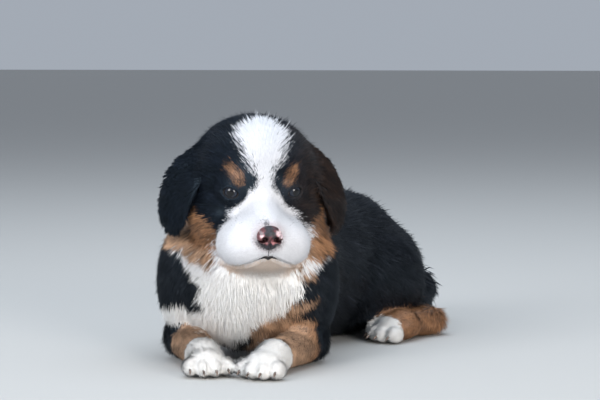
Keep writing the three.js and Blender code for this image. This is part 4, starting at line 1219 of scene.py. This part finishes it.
def grow(name, weights, count, length, width, lift, wild, clump=None, rings=SPIKE, jitter=1.0):
    """Tufts scattered on the quads by their weights. Wild hair sways from its lie, and jitter in mm blurs
    the markings."""
    roots, normals, charts = scattered(weights, count)
    keep = ~bare(roots)
    roots, normals, charts = roots[keep], normals[keep], charts[keep]
    near = distances(roots)
    lies = lie_of_coat(roots, normals, near)
    sway = 0.55 * wild * chance.normal(0, 1, len(roots)) + wild * wander(roots, 9, 5)
    lies = unit(lies + np.cross(lies, normals) * sway[:, None])
    lengths = varying(length, roots, 0.7, 1.2)
    widths = varying(width, roots, 0.75, 1.25)
    lifts = varying(lift, roots, 0.6, 1.4)
    # A few strays stand up from the rest.
    strays = chance.random(len(roots)) < 0.07
    lifts = lifts * (0.35 + 0.65 * ramp(roots[:, 2], 2, 12)) * (1 + 1.1 * strays)
    high = ramp(to_head(*roots.T)[2], 8, 22) * chance.normal(0, 1, len(roots)).clip(-1.7, 1.1)
    colours = coat_colour(roots + jitter * chance.normal(0, 1, roots.shape), near, 0.5, 2.8 * high)
    # The dark hair is painted lighter and darker in broad patches, as sheen on its locks.
    colours *= np.exp(0.3 * wander(roots, 5, 77) * (colours.max(1) < 0.5))[:, None]
    tuft_mesh(name, roots, normals, lies, lengths, widths, lifts, colours, charts, clump, rings)


def from_nose(points):
    return np.linalg.norm(seen_from_head(points) - (0, -76, -20), axis=1)


def head_length(points):
    """Hair is short on the muzzle and round the eyes, and longer on the skull and cheeks."""
    hx, hy, hz = seen_from_head(points).T
    cheek = ramp(np.abs(hx), 34, 50) * ramp(-hz, -5, 25)
    near_eye = (1 - ramp(np.hypot(np.abs(hx) - EYE_AT[0], hz - EYE_AT[2]), 4, 15)) * ramp(-hy, 20, 30)
    return (2.0 + 5.6 * ramp(from_nose(points), 26, 82) + 1.5 * cheek) * (1 - 0.55 * near_eye)


def head_width(points):
    return 0.46 + 0.34 * ramp(from_nose(points), 14, 90)


def head_lift(points):
    return 0.20 + 0.17 * ramp(from_nose(points), 30, 90)


head_quads = belongs(quad_part, "head")
quad_x, quad_y, _ = seen_from_head(quad_middles).T
front_face = head_quads & (quad_y < -6)
closeness = 0.5 + 0.5 * ramp(-quad_y, 20, 50)
for side, s in SIDES.items():
    grow(f"coat_face_{side}", front_face * (quad_x * s > 0) * closeness, count=42000, length=head_length,
         width=head_width, lift=head_lift, wild=0.16, jitter=1.5)
grow("coat_crown", head_quads & ~front_face, count=29000, length=head_length, width=0.8, lift=head_lift,
     wild=0.3, clump=(0.4, 0.06), jitter=2.0)
for side in SIDES:
    grow(f"coat_ear_{side}", belongs(quad_part, "ear_" + side), count=18000,
         length=lambda p: 7.5 + 4.0 * ramp(-to_head(*p.T)[2], -5, 30), width=0.95, lift=0.30, wild=0.5,
         clump=(0.6, 0.03))

trunk_quads = belongs(quad_part, "torso", "neck")
chest_quads = trunk_quads & (on_level(quad_middles, SHOULDER_AT, SHOULDER_TURN)[1] > 16)
grow("coat_chest", chest_quads, count=36000, length=12.5, width=0.9, lift=0.34, wild=0.3,
     clump=(0.45, 0.035))
for side, s in SIDES.items():
    half_trunk = trunk_quads & ~chest_quads & ((quad_middles[:, 0] - 3) * s > 0)
    grow(f"coat_trunk_{side}", half_trunk, count=38000, length=12.5, width=1.2, lift=0.30, wild=0.25,
         clump=(0.3, 0.04))
for side in SIDES:
    wrist, hind_paw = FORE[side]["wrist"], (*HIND[side]["paw"], 12)
    grow(f"coat_foreleg_{side}", belongs(quad_part, "fore_" + side), count=23000,
         length=lambda p: 4.2 + 6.0 * ramp(np.linalg.norm(p - wrist, axis=1), 6, 55),
         width=lambda p: 0.62 + 0.3 * ramp(p[:, 2], 26, 50), lift=0.24, wild=0.25, clump=(0.3, 0.06))
    grow(f"coat_hindleg_{side}", belongs(quad_part, "hind_" + side), count=13000,
         length=lambda p: 4.2 + 7.0 * ramp(np.linalg.norm(p - hind_paw, axis=1), 16, 70),
         width=lambda p: 0.7 + 0.45 * ramp(p[:, 2], 22, 46), lift=0.27, wild=0.25, clump=(0.3, 0.06))
paw_quads = belongs(quad_part, *[name for name in GROUPS if "paw" in name])
grow("coat_paws", paw_quads, count=24000, length=4.2, width=0.62, lift=0.3, wild=0.22)
grow("coat_tail", belongs(quad_part, "tail"), count=6000, length=15, width=1.4, lift=0.32, wild=0.35,
     clump=(0.4, 0.08), rings=BENT)

# ------------------------------------------------------------------------------------------------
# Floor and light. A pale plain floor under a broad, soft sky: a large cool light overhead, one in
# front on the left and a faint warm one on the right.
FAR_OFF = 60
floor_mesh = bpy.data.meshes.new("floor")
corners = [(-FAR_OFF, -FAR_OFF, 0), (FAR_OFF, -FAR_OFF, 0), (FAR_OFF, FAR_OFF, 0), (-FAR_OFF, FAR_OFF, 0)]
floor_mesh.from_pydata(corners, [], [(0, 1, 2, 3)])
floor = bpy.data.objects.new("floor", floor_mesh)
bpy.context.collection.objects.link(floor)
floor_mesh.materials.append(material("floor finish", Base_Color=(0.50, 0.495, 0.48, 1), Roughness=0.9)[0])

for name, place, aim, size, watts, spread, tint in (
    ("sky", (0.1, 0.0, 2.2), (0, 0, 0), 2.4, 44, 180, (0.80, 0.90, 1.0)),
    ("front", (-0.5, -2.1, 0.9), (0, 0, 0.1), 1.2, 11, 90, (0.97, 0.98, 1.0)),
    ("side", (1.9, -1.1, 0.5), (0, 0, 0.1), 0.9, 9, 90, (1.0, 0.95, 0.90)),
):
    lamp = bpy.data.objects.new(name, bpy.data.lights.new(name, "AREA"))
    bpy.context.collection.objects.link(lamp)
    lamp.data.size, lamp.data.energy, lamp.data.color = size, watts, tint
    lamp.data.spread = math.radians(spread)
    lamp.location = place
    away = np.array(place) - np.array(aim)
    lamp.rotation_euler = (math.acos(away[2] / np.linalg.norm(away)), 0, math.atan2(away[0], -away[1]))
world = bpy.data.worlds.new("sky dome")
world.use_nodes = True
world.node_tree.nodes["Background"].inputs["Color"].default_value = (0.80, 0.88, 1.0, 1)
world.node_tree.nodes["Background"].inputs["Strength"].default_value = 0.46
bpy.context.scene.world = world
bpy.context.scene.view_settings.view_transform = "Standard"
